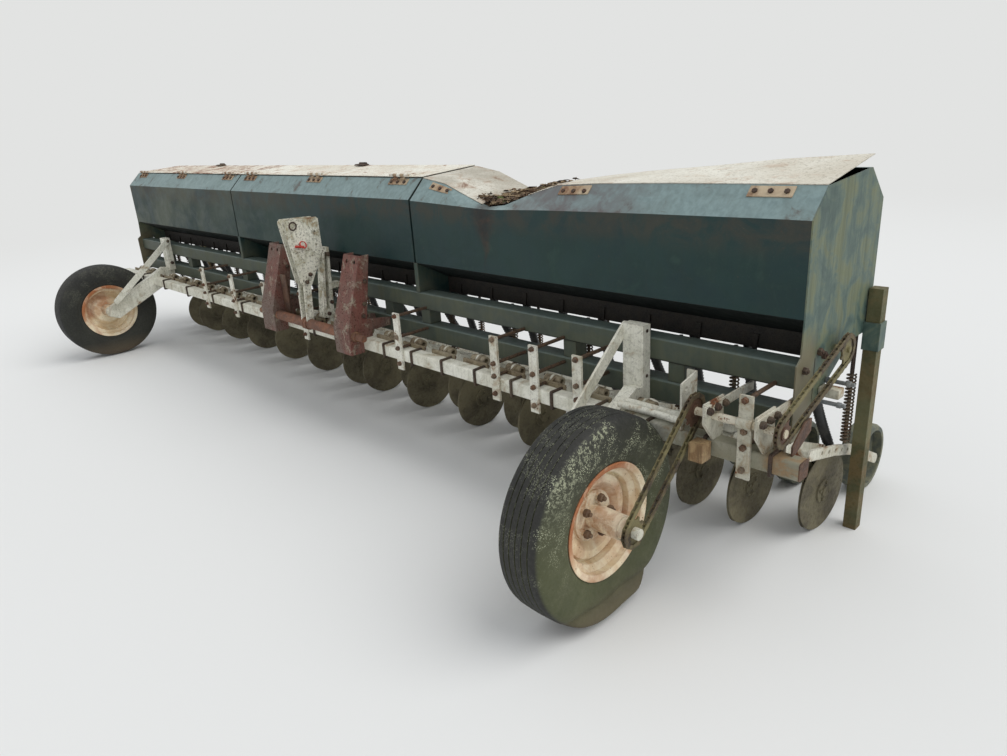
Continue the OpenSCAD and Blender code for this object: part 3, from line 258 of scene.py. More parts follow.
def green_paint(chalk_and_reflection, algae, brown, radius=0.006, crease=0.0):
    """Dark green paint, by how much chalking with painted sky reflection on the tops, algae, brown and, on
    the dented sheet, crease there is. Faces that point down get painted shade.
    """
    def build(tree):
        w = use(tree, weather)
        e = use(tree, edges, Radius=radius, Amount=0.6)
        spot, up = spot_on(tree), facing_on(tree)["Z"]
        stain = times(tree, step(tree, w["Blotches"], 0.36, 0.62),
                      step(tree, spot["Z"], panel_top - 0.105, panel_top), brown)
        faded = times(tree, step(tree, w["Patches"], 0.38, 0.6), step(tree, spot["X"], 0.4, -2.6), brown)
        moss = times(tree, step(tree, w["Blotches"], 0.30, 0.55, 0.35, 1.0),
                     step(tree, w["Streaks"], 0.3, 0.7, 0.6, 1.0), algae)
        foot = times(tree, step(tree, spot["Z"], 1.0, 0.86),
                     step(tree, spot["Y"], front_y + 0.14, front_y + 0.06), algae)
        # Chalky paint and painted sky reflection: faces that look up are painted a pale blue-grey, in
        # streaks.
        chalk_and_sky_sheen = times(tree, step(tree, up, 0.25, 0.62), step(tree, w["Streaks"], 0.25, 0.7, 0.7, 1.0), chalk_and_reflection)
        runs = times(tree, step(tree, w["Runs"], 0.61, 0.74), step(tree, w["Streaks"], 0.4, 0.65), 0.45)
        top_stain = times(tree, step(tree, w["Blotches"], 0.56, 0.66), step(tree, up, 0.3, 0.6), brown)
        rusty = most(tree, step(tree, w["Chips"], 0.67, 0.72), runs, top_stain, e["Mask"])
        off = plus(tree, less(tree, spot["X"], crease_x), times(tree, w["Blotches"], -0.10))
        off = add(tree, "Math", {"operation": "ABSOLUTE"}, _0=off).outputs[0]
        wide = step(tree, spot["Z"], 1.05, 1.30, 0.012, 0.10)
        fold = step(tree, add(tree, "Math", {"operation": "DIVIDE"}, _0=off, _1=wide).outputs[0], 1.0, 0.1)
        fold = times(tree, fold, step(tree, spot["Z"], 0.95, 1.22), crease,
                     step(tree, w["Chips"], 0.3, 0.6, 0.55, 1.0))
        bruise = times(tree, step(tree, spot["X"], 1.62, 1.85), step(tree, spot["X"], 2.55, 2.1),
                       step(tree, up, 0.3, 0.6), crease, step(tree, w["Blotches"], 0.34, 0.56, 0.35, 0.95))
        paint = over(
            tree, mix(tree, step(tree, w["Patches"], 0.35, 0.65), (10, 43, 46), (20, 52, 50)),
            (step(tree, w["Streaks"], 0.45, 0.75, 0, 0.22), (8, 34, 38)),
            (step(tree, w["Blotches"], 0.56, 0.72, 0, 0.4), (50, 74, 68)),
            (stain, (66, 58, 50)),
            (faded, (92, 96, 80)),
            (moss, mix(tree, step(tree, w["Blotches"], 0.42, 0.6), (96, 114, 104), (112, 118, 92))),
            (foot, mix(tree, w["Blotches"], (96, 88, 66), (120, 116, 94))),
            (chalk_and_sky_sheen, mix(tree, w["Blotches"], (150, 172, 174), (118, 138, 136))),
            (rusty, mix(tree, w["Grain"], (98, 68, 52), (58, 44, 38))),
            (step(tree, w["Grain"], 0.66, 0.76, 0, 0.4), (128, 138, 126)),
            (fold, mix(tree, step(tree, w["Blotches"], 0.45, 0.65), (34, 28, 25), (70, 52, 42))),
            (bruise, mix(tree, w["Streaks"], (112, 104, 104), (84, 78, 80))),
            # Painted shade: faces that point down are painted near-black, for the shade under the hopper
            # floor, tubes and panels.
            (step(tree, up, -0.15, -0.5, 0, 0.85), (18, 18, 17)))
        tall = plus(tree, times(tree, rusty, 0.6), times(tree, w["Grain"], 0.25),
                    times(tree, w["Patches"], 6.0))
        parts = surface(tree, paint, w["Blotches"], 0.45, 0.65, tall, 0.35, 0.002, e["Round"])
        parts["Roughness"] = most(tree, parts["Roughness"], times(tree, rusty, 0.85))
        parts["Specular IOR Level"] = 0.35
        return parts
    return build


def coat(material, *names):
    """Gives CAD nodes a material in place of their plain colour."""
    for name in names:
        nodes[name].data.materials.clear()
        nodes[name].data.materials.append(material)


coat(finish("green_tube_paint", green_paint(0.28, 0.3, 0.15, 0.008)),
     "lower_tube", "upper_tube", "tube_posts", "rear_tube_bar", "hangers", "spring_shelf")
coat(finish("green_sheet_paint", green_paint(0.9, 0.05, 0.6, 0.004, 0.85)),
     "hopper_far", "hopper_mid", "hopper_near")
coat(finish("green_end_paint", green_paint(0.2, 1.0, 0.15, 0.003)), "end_panels", "stand_sleeves")


# Tool bar, straps, arms and mast
# Heavy steel with an off-white farm paint, bolted and welded together. Rust bleeds from the bolts
# and edges, algae greens the lower faces, and lichen specks the mast.
bar_end = 3.07
strap_back = front_y - 0.187
block_top = 0.6
block_back = front_y - 0.1975


def cream_paint(rust, algae, dark, dim=0.25, rods=0.0):
    """Off-white paint, by how much rust, algae and grime there is, how dim the near end is, and
    whether the rods behind the straps are bare."""
    def build(tree):
        w = use(tree, weather, Size=1.6)
        e = use(tree, edges, Radius=0.004, Amount=0.9)
        spot = spot_on(tree)
        green = times(tree, step(tree, w["Blotches"], 0.42, 0.64), algae)
        near = times(tree, step(tree, spot["X"], 2.2, 2.9),
                     step(tree, w["Patches"], 0.30, 0.60, 0.5, 1.0), dim)
        end = times(tree, step(tree, spot["X"], bar_end - 0.07, bar_end, 0, dim * 0.8),
                    step(tree, w["Blotches"], 0.42, 0.54))
        limit, fine_limit = 0.70 - 0.14 * rust, 0.72 - 0.08 * rust
        rusty = most(tree, step(tree, w["Blotches"], limit, limit + 0.05),
                     step(tree, w["Chips"], fine_limit, fine_limit + 0.03), e["Mask"])
        behind = times(tree, step(tree, spot["Y"], strap_back, strap_back + 0.003), rods)
        paint = over(
            tree, mix(tree, step(tree, w["Patches"], 0.35, 0.65), (236, 235, 222), (214, 211, 194)),
            (step(tree, w["Streaks"], 0.45, 0.8, 0, 0.4), (150, 142, 116)),
            (green, (122, 124, 88)),
            (near, (104, 102, 80)),
            (end, mix(tree, w["Chips"], (168, 128, 82), (122, 98, 70))),
            (times(tree, step(tree, w["Chips"], 0.50, 0.64), dark), (78, 70, 56)),
            (step(tree, w["Blotches"], limit - 0.10, limit + 0.02, 0, 0.5), (158, 124, 82)),
            (rusty, mix(tree, step(tree, w["Chips"], 0.35, 0.65), (128, 74, 40), (72, 46, 34))),
            (behind, mix(tree, step(tree, w["Chips"], 0.4, 0.6), (60, 48, 38), (92, 70, 52))))
        tall = plus(tree, times(tree, rusty, 0.7), times(tree, w["Grain"], 0.3))
        parts = surface(tree, paint, w["Blotches"], 0.5, 0.7, tall, 0.5, 0.0015, e["Round"])
        parts["Roughness"] = most(tree, parts["Roughness"], times(tree, rusty, 0.88))
        return parts
    return build


def stand_and_block(tree):
    """Cream plates and tubes, and the plain old wood of the block in front of the bar."""
    parts = cream_paint(0.62, 0.25, 0.3)(tree)
    w = use(tree, weather, Size=3.0)
    spot = spot_on(tree)
    block = times(tree, step(tree, spot["Y"], block_back, block_back - 0.001),
                  step(tree, spot["Z"], block_top, block_top - 0.003))
    wood = over(tree, mix(tree, step(tree, w["Blotches"], 0.4, 0.6), (172, 146, 108), (138, 110, 78)),
                (step(tree, w["Streaks"], 0.5, 0.7, 0, 0.6), (88, 68, 48)))
    parts["Base Color"] = mix(tree, block, parts["Base Color"], wood)
    return parts


strap_cream = finish("cream_strap_paint", cream_paint(0.62, 0.25, 0.3))
coat(strap_cream, "press_arms")
coat(finish("cream_bar_paint", cream_paint(0.3, 0.28, 0.2, 0.8)), "tool_bar")
coat(finish("cream_stand_and_wood", stand_and_block), "drive_stand")
coat(finish("cream_strap_and_rods", cream_paint(0.62, 0.25, 0.3, 0.25, 1.0)), "bar_straps")
coat(finish("cream_arm_paint", cream_paint(0.25, 0.28, 0.35)),
     "wheel_arm_near", "wheel_brace_near", "wheel_arm_far", "wheel_brace_far", "opener_arms")
coat(finish("cream_mast_paint", cream_paint(0.5, 0.6, 0.8)), "hitch_mast", "mast_stay")


# Bare and rusted steel
# Forged, cast and rolled steel with no paint left: brown scale with lighter dust. Hinges and caps
# are bolted on, chains run on their sprockets, and shafts, rods and discs stand in their bearings.
def bare_steel(name, first, second, dust, amount=0.4, size=2.0, rough_low=0.55):
    """A material of two tones of scale with dust over them."""
    def build(tree):
        w = use(tree, weather, Size=size)
        e = use(tree, edges, Radius=0.003, Amount=0.6)
        dark = [c * 0.45 for c in tone(*first)[:3]] + [1]
        metal = over(
            tree, mix(tree, step(tree, w["Blotches"], 0.38, 0.62), first, second),
            (step(tree, w["Chips"], 0.52, 0.68, 0, 0.7), dark),
            (step(tree, w["Patches"], 0.45, 0.62, 0, amount), dust),
            (e["Mask"], dust))
        tall = plus(tree, w["Chips"], times(tree, w["Grain"], 0.4))
        return surface(tree, metal, w["Chips"], rough_low, 0.9, tall, 0.6, 0.0015, e["Round"])
    return finish(name, build)


jackshaft_y, jackshaft_z = front_y - 0.192, 0.690


def reach_from(tree, y, z):
    """How far a place is from a line that runs along the machine."""
    spot = spot_on(tree)
    across, rise = less(tree, spot["Y"], y), less(tree, spot["Z"], z)
    squares = plus(tree, times(tree, across, across), times(tree, rise, rise))
    return add(tree, "Math", {"operation": "SQRT"}, _0=squares).outputs[0]


def shaft_paint(tree):
    """Cream paint on the tube, rust on what stands out round it."""
    w = use(tree, weather, Size=2.0)
    outside = step(tree, reach_from(tree, jackshaft_y, jackshaft_z), 0.0145, 0.0155)
    paint = over(tree, mix(tree, step(tree, w["Blotches"], 0.4, 0.6), (214, 208, 190), (184, 174, 150)),
                 (step(tree, w["Chips"], 0.56, 0.62), (124, 82, 56)),
                 (outside, mix(tree, w["Chips"], (104, 74, 54), (58, 44, 36))))
    return surface(tree, paint, w["Chips"], 0.55, 0.85, w["Chips"], 0.5, 0.0015)


rust_brown = bare_steel("rust_brown", (96, 68, 50), (70, 50, 40), (132, 116, 92))
muddy_steel = bare_steel("muddy_disc_steel", (80, 74, 58), (104, 98, 76), (126, 118, 92), 0.7, 1.2)
black_rust = bare_steel("black_rusty_bolts", (52, 42, 36), (78, 54, 40), (112, 100, 80), 0.4, 5)
coat(rust_brown, "bar_caps", "chain_guard")
coat(muddy_steel, "opener_discs")
coat(finish("cream_tube_and_sprockets", shaft_paint), "jackshaft")
coat(bare_steel("cream_and_rust", (168, 142, 112), (124, 86, 62), (206, 192, 164), 0.6, 3.5), "lid_hinges")
coat(bare_steel("lichen_chain", (94, 80, 56), (62, 52, 40), (134, 128, 86), 0.6, 5),
     "lower_chain", "upper_chain")
coat(bare_steel("dark_rusty_steel", (58, 48, 42), (74, 56, 44), (104, 96, 78), 0.3),
     "feed_shaft", "spring_rods", "u_bolts")
coat(bare_steel("dirty_casting", (150, 138, 112), (112, 96, 74), (176, 168, 146), 0.5, 2.5), "pivot_brackets")
coat(bare_steel("black_cups", (40, 35, 30), (58, 48, 38), (72, 64, 50), 0.4, 3), "feed_cups")
coat(bare_steel("hub_rust", (226, 212, 184), (180, 138, 100), (232, 220, 196), 0.6, 2.5),
     "hub_near", "hub_far")


# Bolts
# Hexagon heads and nuts of black and galvanised steel, gone to rust. Four hold each strap to the
# tool bar and frame, and four hold each row's bracket to the back of the bar.
def pick(piece, test):
    """Selects in edit mode the faces for which the test holds."""
    shape = bmesh.from_edit_mesh(piece.data)
    for face in shape.faces:
        face.select_set(bool(test(face)))
    bmesh.update_edit_mesh(piece.data)


def activate(piece):
    """Selects one piece alone and makes it the active one."""
    bpy.ops.object.select_all(action="DESELECT")
    piece.select_set(True)
    bpy.context.view_layer.objects.active = piece
    return piece


def shaped(add_primitive, *steps, **sizes):
    """Adds a primitive and shapes it in edit mode by steps, each a test on the faces and an operator."""
    bpy.ops.object.select_all(action="DESELECT")
    add_primitive(**sizes)
    piece = bpy.context.object
    bpy.ops.object.transform_apply(location=True, rotation=True, scale=True)
    bpy.ops.object.mode_set(mode="EDIT")
    for test, work in steps:
        pick(piece, test)
        work()
    bpy.ops.object.mode_set(mode="OBJECT")
    piece.select_set(False)
    return piece


def inset(axis, way, thickness, depth):
    """A step that insets the faces that look along an axis, or both ways along it if way is 0."""
    def faces(face):
        share = face.normal["xyz".index(axis)]
        return share * way > 0.9 if way else abs(share) > 0.9
    return faces, lambda: bpy.ops.mesh.inset(thickness=thickness, depth=depth)


def modify(piece, kind, **settings):
    """Adds a modifier with its settings and applies it."""
    modifier = piece.modifiers.new(kind.lower(), kind)
    for name, value in settings.items():
        setattr(modifier, name, value)
    bpy.context.view_layer.objects.active = piece
    bpy.ops.object.modifier_apply(modifier=modifier.name)


def made(name, mesh):
    """A new object in the scene for a mesh."""
    piece = bpy.data.objects.new(name, mesh)
    bpy.context.collection.objects.link(piece)
    return piece


def built(name, shape):
    """A new object for a shape that was built point by point."""
    mesh = bpy.data.meshes.new(name)
    shape.to_mesh(mesh)
    shape.free()
    return made(name, mesh)


def repeat(piece, places):
    """One piece with a copy of the mesh at each place, which is a matrix. The first one goes away."""
    whole = bmesh.new()
    for place in places:
        start = len(whole.verts)
        whole.from_mesh(piece.data)
        whole.verts.ensure_lookup_table()
        bmesh.ops.transform(whole, matrix=place, verts=whole.verts[start:])
    bpy.data.objects.remove(piece)
    return built("copies", whole)


def join(*items):
    bpy.ops.object.select_all(action="DESELECT")
    for item in items:
        item.select_set(True)
    bpy.context.view_layer.objects.active = items[0]
    bpy.ops.object.join()
    items[0].select_set(False)
    return items[0]


def settle(piece, name, material, body="frame", smooth=32):
    """Names a piece, smooths it, gives it its material and lets it ride on a body."""
    activate(piece)
    bpy.ops.object.transform_apply(location=True, rotation=True, scale=True)
    bpy.ops.object.shade_smooth_by_angle(angle=math.radians(smooth))
    piece.name = piece.data.name = name
    piece.data.materials.clear()
    piece.data.materials.append(material)
    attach(piece, body)
    piece.select_set(False)
    return piece


cube, cylinder = bpy.ops.mesh.primitive_cube_add, bpy.ops.mesh.primitive_cylinder_add
dice = random.Random(7)


def at(x, y, z):
    """A place given in millimetres, with Y from the hopper's front panel, as in the part's source."""
    return Vector((x / 1000, y / 1000 + front_y, z / 1000))


def facing_along(place, direction, turn=None):
    """A matrix that stands a piece modelled along +Z on a place, pointing in a direction."""
    turn = dice.uniform(0, 1.05) if turn is None else turn
    return (Matrix.Translation(place) @ Vector(direction).to_track_quat("Z", "Y").to_matrix().to_4x4()
            @ Matrix.Rotation(turn, 4, "Z"))


def towards_near(spots):
    """Places in millimetres whose bolts all point to the near end."""
    return [facing_along(at(*spot), (1, 0, 0)) for spot in spots]


def hex_head(across, height, stud=0.0):
    """A hexagon head with a chamfered top, and the bolt's end above it if it is a nut."""
    piece = shaped(cylinder, inset("z", 1, across * 0.07, height * 0.14), vertices=6, radius=across * 0.577,
                   depth=height, location=(0, 0, height / 2))
    if stud:
        piece = join(piece, shaped(cylinder, inset("z", 1, across * 0.06, 0.001), vertices=10,
                                   radius=across * 0.3, depth=stud + height,
                                   location=(0, 0, (stud + height) / 2)))
    return piece


row_pitch, rows = 237, 26
row_x = [(i - (rows - 1) / 2) * row_pitch for i in range(rows)]
from_middle = [int(abs(i - (rows - 1) / 2)) for i in range(rows)]
rear_row = [(n % 2 == 1) != (n >= 11) for n in from_middle]
strap_x = [row_x[rows - 1 - k] for k in (0, 3, 4, 5, 8, 12, 14, 16, 18)]
strap_face, bracket_back = -199, -111
frame_bolts = [facing_along(at(x + dice.uniform(-1, 1), strap_face, z), (0, -1, 0))
               for x in strap_x for z in (775, 665, 606.5, 524.5)]
frame_bolts += [facing_along(at(x + dx, bracket_back, z), (0, 1, 0))
                for x in row_x for dx in (-44, 84) for z in (546, 592)]
settle(repeat(hex_head(0.021, 0.011, 0.007), frame_bolts), "frame_bolts",
       bare_steel("bolt_rust", (104, 66, 42), (74, 56, 44), (150, 138, 116), 0.5, 4))


# Feed gate bar
# A dark flat bar of rolled steel under each hopper section, in front of the feed cups. One short
# gate lever a row stands on its face.
gate_y, gate_low, gate_high, lever_z = 198, 818, 904, 838
bars = [shaped(cube, inset("y", -1, 0.004, -0.002), size=1,
               scale=((right - left) / 1000, 0.005, (gate_high - gate_low) / 1000),
               location=at((left + right) / 2, gate_y, (gate_low + gate_high) / 2))
        for left, right in ((-3010, -1032), (-998, 998), (1032, 3010))]
lever = shaped(cube, (lambda f: f.normal.z < -0.9, lambda: bpy.ops.transform.resize(value=(0.55, 1, 1))),
               inset("y", -1, 0.002, 0.002), size=1, scale=(0.026, 0.006, 0.075), location=(0, 0, 0))
levers = repeat(lever, [Matrix.Translation(at(x + 62, gate_y - 6, lever_z + dice.uniform(-6, 6)))
                        for x in row_x])
settle(join(*bars, levers), "feed_gate_bar",
       bare_steel("black_gate_bar", (34, 32, 29), (46, 40, 34), (58, 54, 46), 0.3, 3))


# Lids
# Flat steel sheets in weathered off-white paint, dotted with black mould and browned by rust at
# the far end. Each is bolted to its hinge leaves, and the near one lies torn and bent.
def lid_paint(rust, dirt=0.0):
    def build(tree):
        w = use(tree, weather, Size=1.3)
        e = use(tree, edges, Radius=0.003, Amount=0.8)
        limit = 0.66 - 0.16 * rust
        rusty = step(tree, w["Blotches"], limit, limit + 0.07)
        paint = over(
            tree, mix(tree, step(tree, w["Patches"], 0.35, 0.65), (232, 230, 218), (216, 210, 194)),
            (step(tree, w["Chips"], 0.53, 0.62, 0, 0.6), (146, 138, 116)),
            (step(tree, w["Blotches"], limit - 0.10, limit, 0, 0.5), (190, 162, 138)),
            (rusty, (128, 84, 62)),
            (step(tree, w["Grain"], 0.60, 0.70, 0, 0.8), (58, 54, 46)),
            (step(tree, w["Patches"], 0.30, 0.62, 0.2 * dirt, dirt), (118, 112, 98)),
            (e["Mask"], (110, 72, 50)))
        tall = plus(tree, times(tree, rusty, 0.6), w["Grain"])
        return surface(tree, paint, w["Blotches"], 0.62, 0.8, tall, 0.4, 0.001, e["Round"])
    return build


coat(finish("lid_far_paint", lid_paint(0.9)), "lid_far")
coat(finish("lid_mid_paint", lid_paint(0.35)), "lid_mid")
coat(finish("lid_near_paint", lid_paint(0.05, 0.12)), "lid_near_right")
coat(finish("lid_torn_paint", lid_paint(0.25, 0.55)), "lid_near_left")


# Lid hinges
# Rolled steel leaves that hold the lids to the hopper's front slope. Three bolts go through each
# leaf, with dark heads on its cream and rust.
def on_leaf(place, out):
    """The place on the leaf's face straight below a point over it."""
    hit, spot, normal, _ = nodes["lid_hinges"].ray_cast(place + 0.05 * out, -out)
    return facing_along(spot, normal) if hit else facing_along(place, out)


def hinge_bolt_places():
    slope = math.atan2(96, 99)
    along, out = Vector((0, math.cos(slope), math.sin(slope))), Vector((0, -math.sin(slope), math.cos(slope)))
    rim_y, rim_z, bolt_pitch = 99, 1418, 56
    bolts = (-bolt_pitch, 0, bolt_pitch)
    places = [on_leaf(at(middle + dx + bolt, rim_y, rim_z) + (-0.032 * along + 0.0045 * out), out)
              for middle in (-2029.5, 0) for dx in (-840, 0, 840) for bolt in bolts]
    for middle, drop, push, tilt in ((1190, 29, 7, 0.2), (2036, 24, 2.5, 0.0), (2869.2, 2, 0, 0.0)):
        places += [on_leaf(at(middle + bolt, rim_y - push - 0.1 * tilt * bolt, rim_z - drop - tilt * bolt)
                           - 0.030 * along, out) for bolt in bolts]
    return places


settle(repeat(hex_head(0.017, 0.006), hinge_bolt_places()), "hinge_bolts", black_rust)


# Lid latches
# A small over-centre catch of pressed steel with a round grip, riveted to the rear edge of each of
# the two whole lids.
for x, lid in ((-2060, "far"), (-6, "mid")):
    catch = shaped(cube, inset("z", 1, 0.006, 0.004), size=1, scale=(0.09, 0.05, 0.006),
                   location=at(x, 428, 1456))
    grip = shaped(cylinder, inset("x", 0, 0.003, 0.002), vertices=12, radius=0.008, depth=0.07,
                  location=at(x, 440, 1464), rotation=(0, math.pi / 2, 0))
    settle(join(catch, grip), "latch_" + lid, black_rust, "lid_" + lid)


# Leaf litter
# Dead leaves and twigs that have gathered for years in the valley between the two pieces of the
# near lid. They lie loose on a bed of leaf mould.
bed_x, bed_y, bed_long, bed_deep = 1586, 262, 392, 356
valley_front, valley_depth = 60, 386
# Places along the machine, each with the heights of the front and the rear rim there
valley = [(1380, 1339, 1341), (1486, 1314, 1333), (1546, 1301, 1345), (1636, 1310, 1367), (1790, 1360, 1386)]


def valley_height(x, y):
    for (x0, front0, rear0), (x1, front1, rear1) in zip(valley, valley[1:]):
        if x <= x1:
            share = (x - x0) / (x1 - x0)
            break
    front, rear = front0 + (front1 - front0) * share, rear0 + (rear1 - rear0) * share
    return front + (rear - front) * (y - valley_front) / valley_depth


def litter_look(tree):
    w = use(tree, weather, Size=3.0)
    leaf = add(tree, "Attribute", {"attribute_name": "leaf_age"}).outputs["Fac"]
    brown = over(tree, mix(tree, step(tree, leaf, 0.0, 0.6), (58, 46, 36), (112, 88, 66)),
                 (step(tree, leaf, 0.6, 0.8), (158, 138, 108)),
                 (step(tree, leaf, 0.94, 0.96), (104, 118, 62)),
                 (step(tree, w["Chips"], 0.45, 0.65, 0, 0.7), (40, 34, 28)))
    return surface(tree, brown, w["Chips"], 0.7, 0.95, w["Chips"], 0.6, 0.002)


bed = shaped(bpy.ops.mesh.primitive_grid_add, x_subdivisions=44, y_subdivisions=40, size=1)
for vertex in bed.data.vertices:
    x, y = bed_x + vertex.co.x * bed_long, bed_y + vertex.co.y * bed_deep
    low = -14 + dice.uniform(0, 13) + 8 * math.sin(x / 31) * math.sin(y / 27)
    vertex.co = at(x, y, valley_height(x, y) + low)
modify(bed, "SOLIDIFY", thickness=0.004, offset=-1)
leaves = bmesh.new()
age = leaves.verts.layers.float.new("leaf_age")


def aged(place, share):
    point = leaves.verts.new(place)
    point[age] = share
    return point


for k in range(620):
    x, y = dice.gauss(1575, 78), dice.uniform(84, 440)
    if not 1400 < x < 1770:
        continue
    length, width, lift = dice.uniform(14, 30), dice.uniform(6, 13), dice.uniform(2, 9)
    turn = Matrix.Rotation(dice.uniform(0, math.tau), 4, "Z") @ Matrix.Rotation(dice.gauss(0, 0.35), 4, "X")
    middle = at(x, y, valley_height(x, y) + dice.uniform(-2, 12))
    share = dice.random()
    outline = [(-length, 0, 0), (-length * 0.3, width, lift), (length * 0.5, width * 0.8, lift),
               (length, 0, 2), (length * 0.5, -width * 0.8, lift), (-length * 0.3, -width, lift)]
    points = [aged(middle + turn @ (Vector(p) / 1000), share) for p in outline]
    leaves.faces.new(points[:4])
    leaves.faces.new((points[0], *points[3:]))
twig_age = 0.72
for k in range(70):
    x, y = dice.gauss(1580, 90), dice.uniform(90, 430)
    if not 1410 < x < 1765:
        continue
    turn = Matrix.Rotation(dice.uniform(0, math.tau), 3, "Z")
    half = turn @ Vector((dice.uniform(0.02, 0.075), 0, dice.uniform(-0.006, 0.01)))
    middle = at(x, y, valley_height(x, y) + dice.uniform(4, 15))
    across = half.cross(Vector((0, 0, 1))).normalized() * 0.0016
    section = [across, Vector((0, 0, 0.0022)), -across]
    ends = [[aged(middle + way * half + edge, twig_age) for edge in section] for way in (-1, 1)]
    for n in range(3):
        leaves.faces.new((ends[0][n], ends[0][(n + 1) % 3], ends[1][(n + 1) % 3], ends[1][n]))
fallen = built("leaves", leaves)
modify(fallen, "SOLIDIFY", thickness=0.0008, offset=0)
for entry in bed.data.attributes.new("leaf_age", "FLOAT", "POINT").data:
    entry.value = dice.uniform(0.0, 0.7)
settle(join(bed, fallen), "leaf_litter", finish("dead_leaves", litter_look), smooth=20)


# Press wheels
# Muddy grey rubber tyres on rusted steel discs, one behind each row, that close the furrow. Each
# turns on a bolt at the end of its arm.
def muddy_rubber(tree):
    w = use(tree, weather, Size=2.2)
    grey = over(tree, mix(tree, step(tree, w["Blotches"], 0.40, 0.60), (84, 90, 82), (116, 116, 96)),
                (step(tree, w["Chips"], 0.55, 0.65, 0, 0.6), (54, 52, 46)))
    return surface(tree, grey, w["Chips"], 0.8, 0.8, w["Chips"], 0.4, 0.0015)


coat(finish("muddy_press_rubber", muddy_rubber), "press_wheels")


# Disc hub bolts
# Four small steel bolt heads round the hub of each outer disc face, under dried mud. The two discs
# of a row stand a few degrees open, and the bolts stand square to them.
disc_z, disc_side, disc_toe = 172, 17.22, math.radians(5)
front_rank, rear_rank = 330, 460
hub_bolts = []
for x, rear in zip(row_x, rear_row):
    for side in (1, -1):
        out = Vector((side * math.cos(disc_toe), -math.sin(disc_toe), 0))
        middle = at(x + side * disc_side, rear_rank if rear else front_rank, disc_z) + 0.010 * out
        across, above = out.cross(Vector((0, 0, 1))), Vector((0, 0, 1))
        for a in (math.radians(90 * k + 20) for k in range(4)):
            hub_bolts.append(facing_along(middle + 0.036 * (math.cos(a) * across + math.sin(a) * above), out))
settle(repeat(hex_head(0.013, 0.006), hub_bolts), "disc_hub_bolts", muddy_steel)


# Down-pressure springs
# Long coils of dark spring wire on a steel rod. Each is pressed between its row's arm and the
# spring shelf on the frame.
def coil_spring(low, high, coil_radius=0.0165, wire_radius=0.0035, pitch=0.0145):
    run = high - low - 2 * wire_radius
    turns = round(run / pitch)
    bpy.ops.object.select_all(action="DESELECT")
    bpy.ops.mesh.primitive_circle_add(vertices=6, radius=wire_radius, rotation=(math.pi / 2, 0, 0),
                                      location=(coil_radius, 0, low + wire_radius))
    coil = bpy.context.object
    bpy.ops.object.transform_apply(location=True, rotation=True, scale=True)
    modify(coil, "SCREW", axis="Z", steps=12, render_steps=12, iterations=turns,
           screw_offset=run / turns, use_merge_vertices=True)
    bpy.ops.object.mode_set(mode="EDIT")
    bpy.ops.mesh.select_all(action="SELECT")
    bpy.ops.mesh.normals_make_consistent(inside=False)
    bpy.ops.mesh.select_all(action="DESELECT")
    bpy.ops.mesh.select_non_manifold()
    bpy.ops.mesh.edge_face_add()
    bpy.ops.object.mode_set(mode="OBJECT")
    rod = shaped(cylinder, vertices=10, radius=0.0075, depth=high - low, location=(0, 0, (low + high) / 2))
    return join(coil, rod)


def in_rows(piece, rear, dx=0, y=0):
    """Copies of a piece at all the rows of the front or the rear rank."""
    return repeat(piece, [Matrix.Translation(at(x + dx, y, 0))
                          for x, behind in zip(row_x, rear_row) if behind == rear])


front_springs = in_rows(coil_spring(0.5055, 0.7748), False, 0, 168)
rear_springs = in_rows(coil_spring(0.3665, 0.6662), True, 57, 540)
coils = settle(join(front_springs, rear_springs), "down_pressure_coils",
               bare_steel("spring_rust", (84, 74, 62), (104, 78, 56), (140, 130, 108), 0.5, 3),
               smooth=60)
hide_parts("springs")


# Seed hoses
# Ribbed black rubber hoses that hang from the feed cups. They bend back into smooth steel tubes,
# which drop the seed behind the discs.
hose_y, hose_top, hose_low, tube_foot = 264, 801, 345, 60


def ribbed_hose(rear):
    """A hose along its path: rings of ten points, wide and narrow in turn, then the steel tube."""
    back = (rear_rank if rear else front_rank) + 72
    top, low = Vector((0, hose_y, hose_top)), Vector((0, back, hose_low))
    elbow = Vector((0, hose_y + (back - hose_y) * 0.25, 600))
    down = Vector((0, 0.03, -1))
    rings, count = [], 64
    for k in range(count + 1):
        t = k / count
        middle = (1 - t) ** 2 * top + 2 * t * (1 - t) * elbow + t * t * low
        along = (2 * (1 - t) * (elbow - top) + 2 * t * (low - elbow)).normalized()
        rib = 21.5 if k % 2 else 18.0
        rings.append((middle, along, rib if 1 < k < count - 1 else 19.5))
    rings += [(low, down, 12.0), (Vector((0, back + 8, tube_foot + 2)), down, 10.5),
              (Vector((0, back + 8, tube_foot)), down, 8.0)]
    shape = bmesh.new()
    loops = []
    side = Vector((1, 0, 0))
    for middle, along, radius in rings:
        up = along.cross(side)
        loops.append([shape.verts.new((middle + radius * (math.cos(a) * side + math.sin(a) * up)) / 1000)
                      for a in (math.tau * n / 10 for n in range(10))])
    for first, second in zip(loops, loops[1:]):
        for n in range(10):
            shape.faces.new((first[n], second[n], second[(n + 1) % 10], first[(n + 1) % 10]))
    shape.faces.new(loops[0])
    shape.faces.new(reversed(loops[-1]))
    bmesh.ops.recalc_face_normals(shape, faces=shape.faces)
    return built("hose", shape)


def black_hose(tree):
    w = use(tree, weather, Size=2.2)
    black = mix(tree, step(tree, w["Blotches"], 0.45, 0.65), (24, 25, 27), (52, 52, 48))
    return surface(tree, black, w["Chips"], 0.35, 0.6, w["Chips"], 0.3, 0.001)


hoses = join(*[in_rows(ribbed_hose(rear), rear) for rear in (False, True)])
settle(hoses, "ribbed_seed_hoses", finish("black_hose_rubber", black_hose), smooth=60)
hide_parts("seed_hoses")


